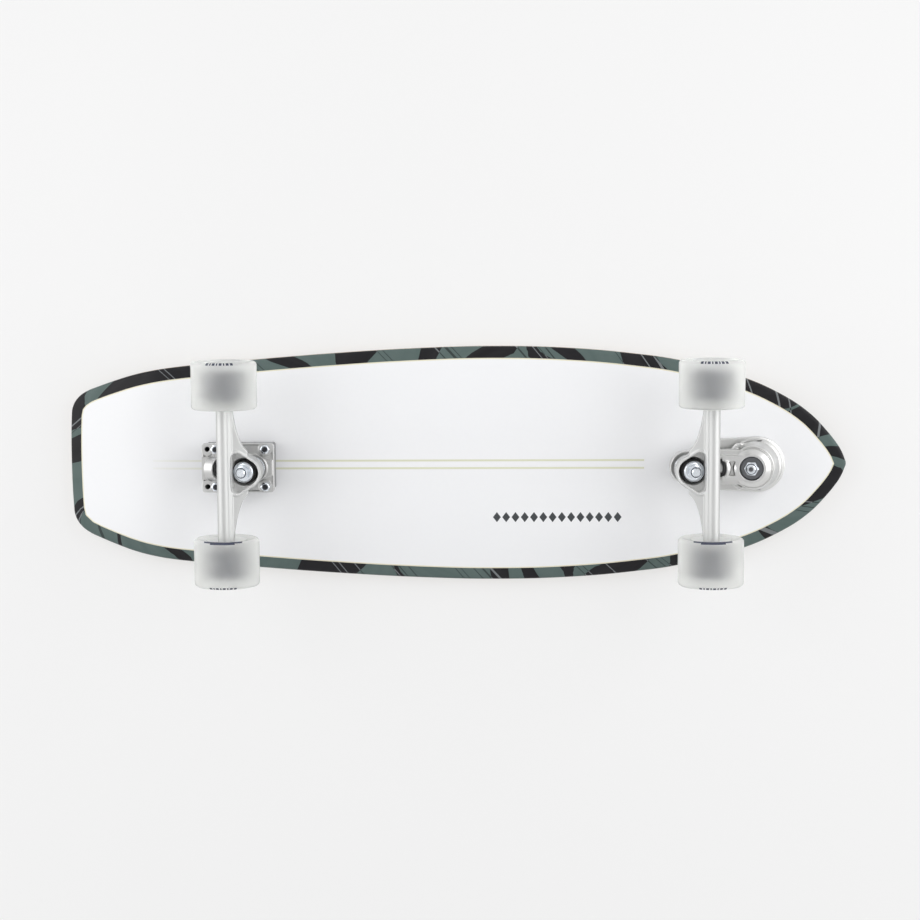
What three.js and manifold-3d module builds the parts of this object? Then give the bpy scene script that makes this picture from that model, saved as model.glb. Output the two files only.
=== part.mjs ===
// A surf skateboard: a pointed deck with a kicktail, a standard truck on a riser at the tail, and a
// truck on a sprung swinging arm at the nose. Lengths are in millimetres. +X points to the nose,
// +Y to the left and +Z up. The floor under the wheels is z = 0, and x = 0 is midway along the deck.
import * as THREE from 'three';
import * as BufferGeometryUtils from 'three/addons/utils/BufferGeometryUtils.js';
import Module from 'manifold-3d';

const wasm = await Module();
wasm.setup();

// Clearances
const gap = 0.3;             // between pieces that touch on the real board
const overrun = 30;          // how far a cutting tool runs past what it cuts
const weld = 0.0003;         // corners closer than this are one

// How many flat sides stand for a round surface
const wideSides = 24;
const roundSides = 16;
const smallSides = 12;
const tinySides = 8;
const arcSegments = 3;       // half the sides of each rounded corner

// Deck and grip tape
const deckLength = 864;
const deckWidth = 260;
const deckThickness = 11;
const railRadius = 4;        // rounding of the deck's edge
const tailCornerRadius = 30;
const concaveDepth = 8;      // how far the rails stand above the flat middle
const flatWidth = 66;        // flat strip down the middle of the deck
const kickLength = 130;
const kickBend = 70;         // length of the bend at the foot of the kicktail
const kickRise = 34;
const gripThickness = 1.2;

// Stance
const rearAxleShare = 0.22315;  // tail to rear axle, of the deck's length
const wheelbaseShare = 0.59826; // axle to axle, of the deck's length
const steerAngle = THREE.MathUtils.degToRad(9);   // how far each kingpin leans, its deck end inboard

// Wheels, bearings and axles
const wheelDiameter = 70;
const wheelWidth = 51;
const wheelLip = 4;          // rounding of the tread's edges
const faceOpening = 43;      // diameter of the hollow in each wheel face
const coreDiameter = 42;
const coreWidth = 32;
const coreStep = 1.6;        // urethane that turns in over each end of the core
const coreFaceWall = 1.7;    // wall between a bearing seat and the hollow of the core's face
const bearingDiameter = 22;
const bearingWidth = 7;
const bearingSpacing = 10;
const axleDiameter = 8;
const axleTip = 2;           // thread that shows past the axle nut
const axleNutWidth = 13;     // across flats
const axleNutHeight = 6.5;

// Hanger
const hangerWidth = 165;
const ridgeRadius = 6.2;     // the round ridge along the road side
const ridgeOffset = 3;       // how far the ridge lies outboard of the axle
const armRadius = 5.6;
const armOffset = 2.2;
const webThickness = 7;
const webDrop = 1.5;         // road face of the web below the axle line
const webSlope = 0.25;       // rise of the web towards the ring, per length
const ringOffset = 20;       // axle to ring centre, inboard
const ringRise = 31;         // axle to ring centre, towards the deck
const ringThickness = 8;
const ringBore = 16;
const ringWall = 3;
const bowlDepth = 24;        // ring centre to the rim on the road side
const bowlTopShare = 0.8;    // width of the bowl at the ring, of its width at the rim
const hollowTopShare = 0.9;  // the same for its hollow
const rimRoom = 1.2;         // how far the hollow's tool runs past the rim
const ringLip = 1.2;         // rim round the deck bushing
const ringSkirt = 8;         // how far the round wall under the ring reaches towards the road
const bowlCornerRadius = 6;
const bowlCornerSide = 16.5;
const bowlCornerBack = 5.9;
const bowlApexRadius = 14.6;
const bowlApexAhead = 3.8;
const pivotOffset = 15;      // axle to pivot ball, outboard
const pivotRise = 46;        // axle to pivot ball, towards the deck
const pivotRadius = 5.6;
const noseRadius = 11;       // root of the nose that carries the pivot ball
const ribThickness = 9;
const boreWall = 0.8;        // thinnest metal between the axle's bore and the bowl

// Kingpin, bushings and washers
const kingpinDiameter = 9.6;
const kingpinHeadWidth = 14; // across flats, as for its nut
const kingpinHeadHeight = 4.6;
const kingpinNutHeight = 6.6;
const kingpinTip = 2.5;      // thread that shows past the nut
const bushingDiameter = 26.4;
const bushingLength = 13;
const bushingNeck = 3;       // how far a bushing reaches into the ring
const bushingTaper = 1.2;    // how much a bushing narrows at its washer
const cupWasherDiameter = 21.8;
const cupWasherThickness = 2;
const flatWasherDiameter = 26;
const flatWasherThickness = 1.3;
const headWall = 5;          // metal between the kingpin's head and its seat
const cupWall = 2.8;         // pivot cup
const cupFloor = 1.2;
const cupReach = 3.8;        // how far the cup's mouth stands past the middle of the ball
const bossWall = 3.3;

// Rear baseplate, riser and deck bolts
const plateLength = 79;
const plateWidth = 54;
const plateCorner = 4;
const plateInset = 33.6;     // outboard edge of the plate to the axle
const flangeThickness = 7.5;
const plateThickness = 11.2; // at the kingpin seat
const riserThickness = 23.4;
const kingpinBossRadius = 15.5;
const boltSpacingLong = 54;
const boltSpacingShort = 41.3;
const spareHoleSpacing = 9.4; // the empty outer pair of holes
const boltInset = 18.1;      // outboard pair of bolts to the axle
const boltDiameter = 4.8;
const boltHeadDiameter = 9.6;
const boltHeadHeight = 2.7;
const boltNutWidth = 9.5;
const boltNutHeight = 4.2;
const boltTip = 1.4;
const boltHole = 5.6;

// Front base and swinging arm
const basePlateThickness = 6.7;
const baseLength = 59;       // inboard edge to the middle of the round end
const baseWidth = 54.6;
const baseCorner = 3;
const baseEndRadius = 30.5;
const baseEndOffset = 56.3;  // axle to the middle of the round end, outboard
const baseBoltOffset = 59.3; // axle to the outboard pair of bolts
const swivelRake = THREE.MathUtils.degToRad(11.9); // the swivel axis leans, its deck end outboard
const turretHeight = 13.5;
const turretRadius = 28.6;
const nutPocketRadius = 6.4;
const headHeight = 34.5;     // swinging head, from its skirt to its land
const headSkirtRadius = 28.5;
const headShoulderRadius = 22.2;
const headLandRadius = 19;
const headLandChamfer = 1.6;
const headGap = 0.5;
const headRecessRadius = 12.9;
const headRecessDepth = 4.8;
const headRoof = 5.7;        // metal between the spring's room and the nut's recess
const sleeveRadius = 12;
const springRoomRadius = 19.3;
const swivelDiameter = 10;
const swivelHeadRadius = 9;
const swivelHeadHeight = 4.5;
const swivelHeadDrop = 3;    // deck to the swivel bolt's head, along the bolt
const swivelNutWidth = 14;
const swivelNutHeight = 6.7;
const swivelTip = 2.6;
const swivelWasherRadius = 10.4;
const swivelWasherThickness = 1.7;
const bearingRaceRadius = 12.5;
const bearingRaceHeight = 5;
const springWire = 2.8;
const springTurns = 4.5;
const springSteps = 32;
const seatRadius = 17.5;     // round end of the arm, over the kingpin
const seatThickness = 18;
const neckHalfWidth = 13.5;
const neckRoadRise = 39;     // axle line to the road face of the neck
const wingReach = 30;        // swivel axis to the inboard end of the head's wings
const wingShoulder = 19.6;
const wingHalfWidth = 25;
const wingHeight = 12;
const armPocketLength = 7;
const armPocketWidth = 15.6;
const armPocketDepth = 6;
const armPocketInset = 21;   // middle of the pocket to the swivel axis

// Sizes that follow from those above
const wheelRadius = wheelDiameter / 2;
const axleRadius = axleDiameter / 2;
const bearingRadius = bearingDiameter / 2;
const hubReach = bearingSpacing / 2 + bearingWidth;    // wheel's middle to a bearing's outer face
const wheelOffset = hangerWidth / 2 + gap + hubReach;  // board's centreline to a wheel's middle
const seatReach = ringThickness / 2 + bushingLength + flatWasherThickness + 3 * gap; // along the kingpin
const seatRise = ringRise + seatReach * Math.cos(steerAngle);  // axle to the kingpin's seat
const plateBack = seatRise + plateThickness;           // axle to the deck side of the baseplate
const flangeFace = plateBack - flangeThickness;        // axle to the road face of the baseplate's flange
const deckRise = plateBack + riserThickness + 2 * gap; // axle to the underside of the deck
const deckBottom = wheelRadius + deckRise;
const deckTop = deckBottom + deckThickness;
const gripTop = deckTop + gap + gripThickness;
const rearAxleX = rearAxleShare * deckLength - deckLength / 2;
const frontAxleX = rearAxleX + wheelbaseShare * deckLength;
const cupRadius = pivotRadius + gap + cupWall;
const bossRadius = cupRadius + gap + bossWall;
const shareOfWidthAcrossCorners = 1 / Math.sqrt(3);    // across flats of a hexagon to its corner radius

// In the truck's own frame the axle is the origin, +X points inboard and +Z to the deck.
const ringCentre = new THREE.Vector3(ringOffset, 0, ringRise);
const kingpinLine = new THREE.Vector3(Math.sin(steerAngle), 0, Math.cos(steerAngle));
const pivotCentre = new THREE.Vector3(-pivotOffset, 0, pivotRise);
const pivotReach = ringCentre.distanceTo(pivotCentre);
const steerLine = pivotCentre.clone().sub(ringCentre).normalize();
const swivelLine = new THREE.Vector3(Math.sin(swivelRake), 0, -Math.cos(swivelRake));
const swivelOrigin = new THREE.Vector3(-baseEndOffset, 0, deckRise);

// Finishes
const finish = (color, roughness, metalness) => (
  new THREE.MeshStandardMaterial({ color, roughness, metalness })
);
const finishes = {
  wood: () => finish(0xeceeef, 0.3, 0),
  grip: () => finish(0x232425, 0.95, 0),
  plastic: () => finish(0x6f7275, 0.6, 0),
  casting: () => finish(0xc9c9c7, 0.42, 0.9),
  zinc: () => finish(0xd3d8dd, 0.25, 1),
  rubber: () => finish(0x1a1b1c, 0.7, 0),
  spring: () => finish(0x8a8d90, 0.35, 1),
  urethane: () => finish(0xe6e8e6, 0.35, 0),
  hub: () => finish(0x56607a, 0.5, 0),
  bearing: () => finish(0xb9bcbf, 0.3, 1),
};

// A closed geometry as a solid that can be cut and joined, its shared corners merged.
function solid(geometry) {
  geometry.deleteAttribute('normal');
  geometry.deleteAttribute('uv');
  const merged = BufferGeometryUtils.mergeVertices(geometry, weld);
  const corners = merged.index.array;
  const triangles = [];
  for (let i = 0; i < corners.length; i += 3) {
    const [a, b, c] = [corners[i], corners[i + 1], corners[i + 2]];
    if (a !== b && b !== c && c !== a) triangles.push(a, b, c);
  }
  return new wasm.Manifold(new wasm.Mesh({
    numProp: 3,
    vertProperties: Float32Array.from(merged.attributes.position.array),
    triVerts: Uint32Array.from(triangles),
  }));
}

// A named piece from a solid.
function piece(name, body, material) {
  const mesh = body.getMesh();
  const geometry = new THREE.BufferGeometry();
  geometry.setAttribute('position', new THREE.BufferAttribute(mesh.vertProperties, mesh.numProp));
  geometry.setIndex(new THREE.BufferAttribute(mesh.triVerts, 1));
  geometry.computeVertexNormals();
  const made = new THREE.Mesh(geometry, material);
  made.name = name;
  return made;
}

const joined = (first, ...others) => others.reduce((body, other) => body.add(other), first);
const without = (first, ...others) => others.reduce((body, other) => body.subtract(other), first);

// The placement that lays local +Z along a direction, from an origin.
function lay(origin, direction) {
  const turn = new THREE.Quaternion().setFromUnitVectors(new THREE.Vector3(0, 0, 1), direction);
  return new THREE.Matrix4().compose(origin, turn, new THREE.Vector3(1, 1, 1));
}

const kingpinFrame = lay(ringCentre, kingpinLine);
const steerFrame = lay(ringCentre, steerLine);

// The swivel's frame keeps its own +Y, so local +X is inboard and +Z runs down to the road.
const swivelFrame = new THREE.Matrix4().makeBasis(
  new THREE.Vector3(Math.cos(swivelRake), 0, Math.sin(swivelRake)),
  new THREE.Vector3(0, -1, 0),
  swivelLine,
).setPosition(swivelOrigin);

// Turned about Z from a closed outline of [radius, height] corners, listed anticlockwise.
function turned(outline, sides) {
  const corners = outline.map(([radius, height]) => new THREE.Vector2(radius, height));
  corners.push(corners[0].clone());
  return new THREE.LatheGeometry(corners, sides).rotateX(Math.PI / 2);
}

// A straight round peg about Z between two heights.
function peg(radius, low, high, sides) {
  return turned([[0, low], [radius, low], [radius, high], [0, high]], sides);
}

// A straight round tube about Z between two heights.
function tube(inner, outer, low, high, sides) {
  return turned([[inner, low], [outer, low], [outer, high], [inner, high]], sides);
}

// A hexagon about Z, given across its flats.
function hexagon(width, low, high) {
  return peg(width * shareOfWidthAcrossCorners, low, high, 6);
}

// A flat outline stretched round circles [x, y, radius], listed anticlockwise.
function wrapped(circles) {
  const outline = new THREE.Shape();
  const angles = circles.map(([x, y, radius], i) => {
    const [nextX, nextY, nextRadius] = circles[(i + 1) % circles.length];
    const span = Math.hypot(nextX - x, nextY - y);
    return Math.atan2(nextY - y, nextX - x) - Math.acos((radius - nextRadius) / span);
  });
  circles.forEach(([x, y, radius], i) => {
    const from = angles[(i + circles.length - 1) % circles.length];
    outline.absarc(x, y, radius, from, angles[i], false);
  });
  return outline;
}

// An outline stood up along Z between two heights. Its top can be drawn in towards x = y = 0.
function prism(outline, low, high, topShare = 1) {
  const geometry = new THREE.ExtrudeGeometry(outline, {
    depth: high - low, bevelEnabled: false, curveSegments: arcSegments,
  });
  const place = geometry.attributes.position;
  for (let i = 0; i < place.count; i += 1) {
    const share = place.getZ(i) > 0 ? topShare : 1;
    place.setXYZ(i, place.getX(i) * share, place.getY(i) * share, place.getZ(i) + low);
  }
  return geometry;
}

// A flat outline through corners [x, y].
const cornered = (corners) => new THREE.Shape(corners.map(([x, y]) => new THREE.Vector2(x, y)));

// A block between two opposite corners.
function block(low, high) {
  const size = high.map((value, i) => value - low[i]);
  const middle = high.map((value, i) => (value + low[i]) / 2);
  return new THREE.BoxGeometry(...size).translate(...middle);
}

// The rail as seen from above, from the tail's end to the nose: shares of length and of half-width.
const railShares = [
  [0.024, 0.605], [0.055, 0.69], [0.1, 0.775], [0.15, 0.832], [0.27, 0.906], [0.4, 0.966], [0.55, 1],
  [0.68, 0.97], [0.78, 0.887], [0.863, 0.746], [0.914, 0.598], [0.953, 0.431], [0.98, 0.249], [1, 0.03],
];

const cornerShares = [0, 0.12, 0.25, 0.5, 0.75];  // of the turn round a corner of the tail
const railSteps = 22;
const acrossShares = [-0.8, -0.55, -0.25, 0.25, 0.55, 0.8];  // of the half-width inside the rails
const leastCosine = 0.4;     // keeps the rail's rounding narrow where the outline turns across the deck

// Stations along the deck, each with its distance from the tail, half-width and the rail's slope.
function deckStations() {
  const halfWidth = deckWidth / 2;
  const side = new THREE.SplineCurve(
    railShares.map(([along, across]) => new THREE.Vector2(along * deckLength, across * halfWidth)),
  );
  const start = side.getPoint(0);
  const heading = side.getTangent(0).angle();
  const corner = new THREE.Vector2(start.x, start.y).add(
    new THREE.Vector2(Math.sin(heading), -Math.cos(heading)).multiplyScalar(tailCornerRadius),
  );
  const stations = cornerShares.map((share) => {
    const turn = Math.PI - (Math.PI / 2 - heading) * share;
    const x = corner.x + tailCornerRadius * Math.cos(turn);
    return { x, half: corner.y + tailCornerRadius * Math.sin(turn), slope: turn - Math.PI / 2 };
  });
  const tail = stations[0].x;
  side.getSpacedPoints(railSteps).forEach((point, i) => {
    stations.push({ x: point.x, half: point.y, slope: side.getTangentAt(i / railSteps).angle() });
  });
  return stations.map(({ x, half, slope }) => ({
    x: (x - tail) * deckLength / (deckLength - tail), half,
    cosine: Math.max(Math.abs(Math.cos(slope)), leastCosine),
  }));
}

// Height of the deck's surface above its flat middle, from its kicktail and concave.
function deckShape(x, y) {
  const kickSlope = kickRise / (kickLength - kickBend / 2);
  const intoKick = Math.max(kickLength - x, 0);
  const kick = intoKick < kickBend
    ? kickSlope * intoKick * intoKick / (2 * kickBend)
    : kickSlope * (intoKick - kickBend / 2);
  const flat = flatWidth / 2;
  const outOfFlat = Math.max(Math.abs(y) - flat, 0) / (deckWidth / 2 - flat);
  const fade = THREE.MathUtils.smoothstep(x, 0, kickLength);
  return kick + concaveDepth * fade * outOfFlat * outOfFlat;
}

// A closed skin through sections, each the same number of corners listed round the piece. Its upper and
// lower faces are split along the same diagonals, so that a layer laid on it keeps an even gap.
function lofted(sections) {
  const corners = sections.flat(2);
  const count = sections[0].length;
  const half = count / 2;
  const triangles = [];
  for (let s = 0; s + 1 < sections.length; s += 1) {
    for (let i = 0; i < count; i += 1) {
      const a = s * count + i;
      const b = s * count + (i + 1) % count;
      if (i < half) triangles.push(a, b, a + count, b, b + count, a + count);
      else triangles.push(a, b, b + count, a, b + count, a + count);
    }
  }
  const last = (sections.length - 1) * count;
  for (let i = 0; i + 1 < half; i += 1) {
    const [a, b, c, d] = [i, i + 1, count - 2 - i, count - 1 - i];
    triangles.push(a, c, b, a, d, c);
    triangles.push(last + a, last + b, last + c, last + a, last + c, last + d);
  }
  const geometry = new THREE.BufferGeometry();
  geometry.setAttribute('position', new THREE.Float32BufferAttribute(corners, 3));
  geometry.setIndex(triangles);
  return geometry;
}

// Countersunk holes for the deck bolts, as one cutting tool for each.
function boltCuts(bottom, top) {
  return boltPlaces().map(({ x, y }) => solid(turned([
    [0, bottom - overrun], [boltHole / 2, bottom - overrun], [boltHole / 2, deckTop - boltHeadHeight],
    [boltHeadDiameter / 2 + gap, deckTop], [boltHeadDiameter / 2 + gap, top + overrun], [0, top + overrun],
  ], tinySides).translate(x, y, 0)));
}

// Where the deck bolts stand, with the road face that each nut is drawn up to.
function boltPlaces() {
  const rearNut = wheelRadius + flangeFace;
  const frontNut = deckBottom - gap - basePlateThickness;
  const trucks = [
    {
      end: 'rear', outboard: rearAxleX - boltInset,
      inboard: rearAxleX - boltInset + boltSpacingLong, face: rearNut,
    },
    {
      end: 'front', outboard: frontAxleX + baseBoltOffset,
      inboard: frontAxleX + baseBoltOffset - boltSpacingLong, face: frontNut,
    },
  ];
  return trucks.flatMap(({ end, outboard, inboard, face }) => (
    [['outboard', outboard], ['inboard', inboard]].flatMap(([row, x]) => (
      [['left', 1], ['right', -1]].map(([side, sign]) => ({
        name: `${end}_${row}_${side}_bolt`, x, y: sign * boltSpacingShort / 2, face,
      }))))));
}

function deck() {
  const insetShares = [0, 0.3, 1];      // of the edge's rounding
  const sections = deckStations().map(({ x, half, cosine }) => {
    const room = Math.min(1, half * cosine / (2 * railRadius));
    const inner = half - railRadius * room / cosine;
    const rail = insetShares.map((share) => [half - (half - inner) * share, railRadius * room * share]);
    const across = [
      ...rail.map(([y, fromRail]) => [-y, fromRail]),
      ...acrossShares.map((share) => [share * inner, railRadius]),
      ...rail.reverse(),
    ];
    const side = (face) => across.map(([y, fromRail]) => {
      const fromEdge = Math.min(fromRail, x, deckLength - x, railRadius);
      const drop = railRadius - Math.sqrt(railRadius ** 2 - (railRadius - fromEdge) ** 2);
      const height = deckShape(x, y) + (face ? deckThickness - drop : drop);
      return [x - deckLength / 2, y, deckBottom + height];
    });
    return [...side(false), ...side(true).reverse()];
  });
  return piece('deck', without(solid(lofted(sections)), ...boltCuts(deckBottom, gripTop)), finishes.wood());
}

function gripTape() {
  const stations = deckStations().filter(({ x, half, cosine }) => (
    x > railRadius && half * cosine > 2 * railRadius
  ));
  const sections = stations.map(({ x, half, cosine }) => {
    const inner = half - railRadius / cosine;
    const side = (height) => [-1, ...acrossShares, 1].map((share) => [
      x - deckLength / 2, share * inner, deckTop + height + deckShape(x, share * inner),
    ]);
    return [...side(gap), ...side(gap + gripThickness).reverse()];
  });
  return piece('grip_tape', without(solid(lofted(sections)), ...boltCuts(deckTop, gripTop)), finishes.grip());
}

// One deck bolt, with its nut run up to the road face.
function deckBolt({ name, x, y, face }) {
  const nutTop = face - gap;
  const nutBottom = nutTop - boltNutHeight;
  const radius = boltDiameter / 2;
  const shank = turned([
    [0, nutBottom - boltTip], [radius, nutBottom - boltTip], [radius, deckTop - boltHeadHeight],
    [boltHeadDiameter / 2, deckTop], [boltHeadDiameter / 2, gripTop - gap], [0, gripTop - gap],
  ], tinySides);
  const nut = hexagon(boltNutWidth, nutBottom, nutTop);
  const bolt = piece(name, joined(solid(shank), solid(nut)), finishes.zinc());
  bolt.position.set(x, y, 0);
  return bolt;
}

// The plan of the baseplate and its riser, with the holes that the bolts pass.
function plateOutline() {
  const near = plateCorner - plateInset;
  const far = plateLength - plateInset - plateCorner;
  const side = plateWidth / 2 - plateCorner;
  return wrapped([[near, -side, plateCorner], [far, -side, plateCorner], [far, side, plateCorner],
    [near, side, plateCorner]]);
}

function plateHoles(low, high) {
  const rows = [-boltInset, boltSpacingLong - boltInset, -boltInset - spareHoleSpacing];
  return rows.flatMap((x) => [1, -1].map((sign) => (
    solid(peg(boltHole / 2, low, high, tinySides).translate(x, sign * boltSpacingShort / 2, 0)))));
}

function riser() {
  const low = plateBack + gap;
  const high = deckRise - gap;
  const body = without(solid(prism(plateOutline(), low, high)), ...plateHoles(low - overrun, high + overrun));
  return piece('rear_riser', body, finishes.plastic());
}

// The seat for a kingpin and its deck-side washer, and the pivot cup's socket: what to add and to cut.
function truckSeats(bossRadiusHere, back) {
  const headFloor = seatReach + headWall;
  const far = (back - ringRise) / Math.cos(steerAngle) + overrun;
  const seatRoomRadius = flatWasherDiameter / 2 + 2 * gap;
  const headRoomRadius = kingpinHeadWidth * shareOfWidthAcrossCorners + gap;
  const mouth = pivotReach - cupReach;
  const socketFloor = pivotReach + pivotRadius + gap + cupFloor + gap;
  return {
    boss: solid(peg(bossRadiusHere, seatReach, headFloor, wideSides).applyMatrix4(kingpinFrame)),
    socket: solid(peg(bossRadius, mouth, socketFloor + bossWall, roundSides).applyMatrix4(steerFrame)),
    seatRoom: solid(peg(seatRoomRadius, 0, seatReach, wideSides).applyMatrix4(kingpinFrame)),
    kingpinHole: solid(peg(kingpinDiameter / 2 + gap, 0, far, smallSides).applyMatrix4(kingpinFrame)),
    headRoom: solid(peg(headRoomRadius, headFloor, far, smallSides).applyMatrix4(kingpinFrame)),
    cupRoom: solid(peg(cupRadius + gap, 0, socketFloor, roundSides).applyMatrix4(steerFrame)),
    back: solid(block([-deckLength, -deckWidth, back], [deckLength, deckWidth, back + overrun])),
  };
}

function rearBaseplate() {
  const seats = truckSeats(kingpinBossRadius, plateBack);
  const flange = solid(prism(plateOutline(), flangeFace, plateBack));
  const edge = plateInset - gap;
  const spine = solid(prism(cornered([
    [-edge, -bossRadius], [-edge + bossRadius, -bossRadius], [ringOffset, -neckHalfWidth],
    [plateLength - plateInset - plateCorner, -neckHalfWidth / 2],
    [plateLength - plateInset - plateCorner, neckHalfWidth / 2],
    [ringOffset, neckHalfWidth], [-edge + bossRadius, bossRadius], [-edge, bossRadius],
  ]), seatRise, plateBack));
  const body = without(
    joined(flange, spine, seats.boss, seats.socket),
    seats.seatRoom, seats.kingpinHole, seats.headRoom, seats.cupRoom, seats.back,
    ...plateHoles(flangeFace - overrun, plateBack + overrun),
  );
  return piece('rear_baseplate', body, finishes.casting());
}

// Fixed base of the front truck: a plate, and a turret square to the raked swivel axis.
function frontBase() {
  const top = deckRise - gap;
  const face = top - basePlateThickness;
  const inboard = baseLength - baseEndOffset - baseCorner;
  const side = baseWidth / 2 - baseCorner;
  const plate = solid(prism(wrapped([
    [-baseEndOffset, 0, baseEndRadius], [inboard, -side, baseCorner], [inboard, side, baseCorner],
  ]), face, top));
  const turret = solid(peg(turretRadius, -turretHeight, turretHeight, wideSides).applyMatrix4(swivelFrame));
  const above = solid(block([-deckLength, -deckWidth, top], [deckLength, deckWidth, top + overrun]));
  const headFloor = swivelHeadDrop + swivelHeadHeight + gap;
  const boltRoom = solid(peg(swivelHeadRadius + gap, -overrun, headFloor, roundSides)
    .applyMatrix4(swivelFrame));
  const shankRoom = solid(peg(swivelDiameter / 2 + gap, 0, overrun, smallSides).applyMatrix4(swivelFrame));
  const rows = [-baseBoltOffset, boltSpacingLong - baseBoltOffset];
  const holes = rows.flatMap((x) => [1, -1].map((sign) => (
    solid(peg(boltHole / 2, face - overrun, top + overrun, tinySides)
      .translate(x, sign * boltSpacingShort / 2, 0)))));
  const pockets = [1, -1].map((sign) => (
    solid(peg(nutPocketRadius, face - overrun, face, smallSides)
      .translate(-baseBoltOffset, sign * boltSpacingShort / 2, 0))));
  const body = without(joined(plate, turret), above, boltRoom, shankRoom, ...holes, ...pockets);
  return piece('front_base', body, finishes.casting());
}

// The swinging arm: a round sprung head, a neck, and a seat for the kingpin.
function frontArm() {
  const skirt = turretHeight + headGap;
  const land = skirt + headHeight;
  const recess = land - headRecessDepth;
  const roof = recess - headRoof;
  const hub = turretHeight + gap + bearingRaceHeight + gap;
  const flareShares = [[0.12, 0], [0.25, 0.36], [0.4, 0.78], [0.58, 1], [0.76, 1.1]];
  const flare = flareShares.map(([up, inShare]) => [
    headSkirtRadius - inShare * (headSkirtRadius - headShoulderRadius), skirt + up * headHeight,
  ]);
  const bore = swivelDiameter / 2 + gap;
  const head = solid(turned([
    [bore, hub], [sleeveRadius, hub], [sleeveRadius, roof], [springRoomRadius, roof],
    [springRoomRadius, skirt], [headSkirtRadius, skirt], ...flare,
    [headLandRadius + headLandChamfer, land - headLandChamfer], [headLandRadius, land],
    [headRecessRadius, land], [headRecessRadius, recess], [bore, recess],
  ], wideSides).applyMatrix4(swivelFrame));
  const wings = solid(prism(cornered([
    [0, -wingHalfWidth], [wingShoulder, -wingHalfWidth], [wingReach, -neckHalfWidth],
    [wingReach, neckHalfWidth], [wingShoulder, wingHalfWidth], [0, wingHalfWidth],
  ]), skirt + headGap, skirt + wingHeight).applyMatrix4(swivelFrame));
  const seats = truckSeats(seatRadius, seatRise + seatThickness);
  const back = seatRise + seatThickness;
  const seatOffset = ringOffset + seatReach * Math.sin(steerAngle);
  const lowSwivel = -baseEndOffset + (deckRise - neckRoadRise) * Math.tan(swivelRake);
  const seat = solid(prism(wrapped([
    [seatOffset, 0, seatRadius], [lowSwivel, bossRadius, neckHalfWidth / 2],
    [lowSwivel, -bossRadius, neckHalfWidth / 2],
  ]), seatRise, back));
  const neckEnd = -pivotOffset;
  const neck = solid(prism(cornered([
    [lowSwivel, -neckHalfWidth], [neckEnd, -neckHalfWidth],
    [neckEnd, neckHalfWidth], [lowSwivel, neckHalfWidth],
  ]), neckRoadRise, back));
  const pocketMiddle = lowSwivel + armPocketInset;
  const pocket = solid(block(
    [pocketMiddle - armPocketLength / 2, -armPocketWidth / 2, neckRoadRise - overrun],
    [pocketMiddle + armPocketLength / 2, armPocketWidth / 2, neckRoadRise + armPocketDepth],
  ));
  const room = [
    solid(peg(springRoomRadius, -overrun, roof, wideSides).applyMatrix4(swivelFrame)),
    solid(peg(headSkirtRadius + overrun, -overrun, skirt, wideSides).applyMatrix4(swivelFrame)),
    solid(peg(headRecessRadius, recess, land + overrun, wideSides).applyMatrix4(swivelFrame)),
    solid(peg(bore, skirt, land + overrun, smallSides).applyMatrix4(swivelFrame)),
  ];
  const outer = without(joined(wings, seat, neck, seats.boss, seats.socket), ...room);
  const body = without(
    joined(outer, head), seats.seatRoom, seats.kingpinHole, seats.headRoom, seats.cupRoom, seats.back, pocket,
  );
  return piece('front_arm', body, finishes.casting());
}

// The return spring, a coil round the swivel bolt inside the head.
function returnSpring() {
  const low = turretHeight + gap + springWire / 2;
  const recess = turretHeight + headGap + headHeight - headRecessDepth;
  const high = recess - headRoof - gap - springWire / 2;
  const radius = (sleeveRadius + springRoomRadius) / 2;
  const helix = new THREE.Curve();
  helix.getPoint = (share, target = new THREE.Vector3()) => {
    const turn = share * springTurns * 2 * Math.PI;
    return target.set(radius * Math.cos(turn), radius * Math.sin(turn), low + share * (high - low));
  };
  const wire = new THREE.Shape().absarc(0, 0, springWire / 2, 0, 2 * Math.PI, false);
  const coil = new THREE.ExtrudeGeometry(wire, { steps: springSteps, curveSegments: 3, extrudePath: helix });
  return piece('return_spring', solid(coil.applyMatrix4(swivelFrame)), finishes.spring());
}

// What stands on the swivel axis: the bolt, its bearing, washer and nut.
function swivelSet() {
  const recess = turretHeight + headGap + headHeight - headRecessDepth;
  const washerTop = recess + gap + swivelWasherThickness;
  const nutTop = washerTop + gap + swivelNutHeight;
  const bolt = joined(
    solid(peg(swivelHeadRadius, swivelHeadDrop, swivelHeadDrop + swivelHeadHeight, roundSides)),
    solid(peg(swivelDiameter / 2, swivelHeadDrop, nutTop + swivelTip, smallSides)),
  );
  const bore = swivelDiameter / 2 + gap;
  const race = turretHeight + gap;
  const pieces = [
    piece('swivel_bolt', bolt, finishes.zinc()),
    piece('swivel_bearing', solid(
      tube(bore, bearingRaceRadius - gap, race, race + bearingRaceHeight, roundSides),
    ), finishes.bearing()),
    piece('swivel_washer', solid(
      tube(bore, swivelWasherRadius, recess + gap, washerTop, roundSides),
    ), finishes.zinc()),
    piece('swivel_nut', without(
      solid(hexagon(swivelNutWidth, washerTop + gap, nutTop)),
      solid(peg(bore, washerTop - overrun, nutTop + overrun, smallSides)),
    ), finishes.zinc()),
  ];
  pieces.forEach((made) => made.applyMatrix4(swivelFrame));
  return pieces;
}

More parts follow.
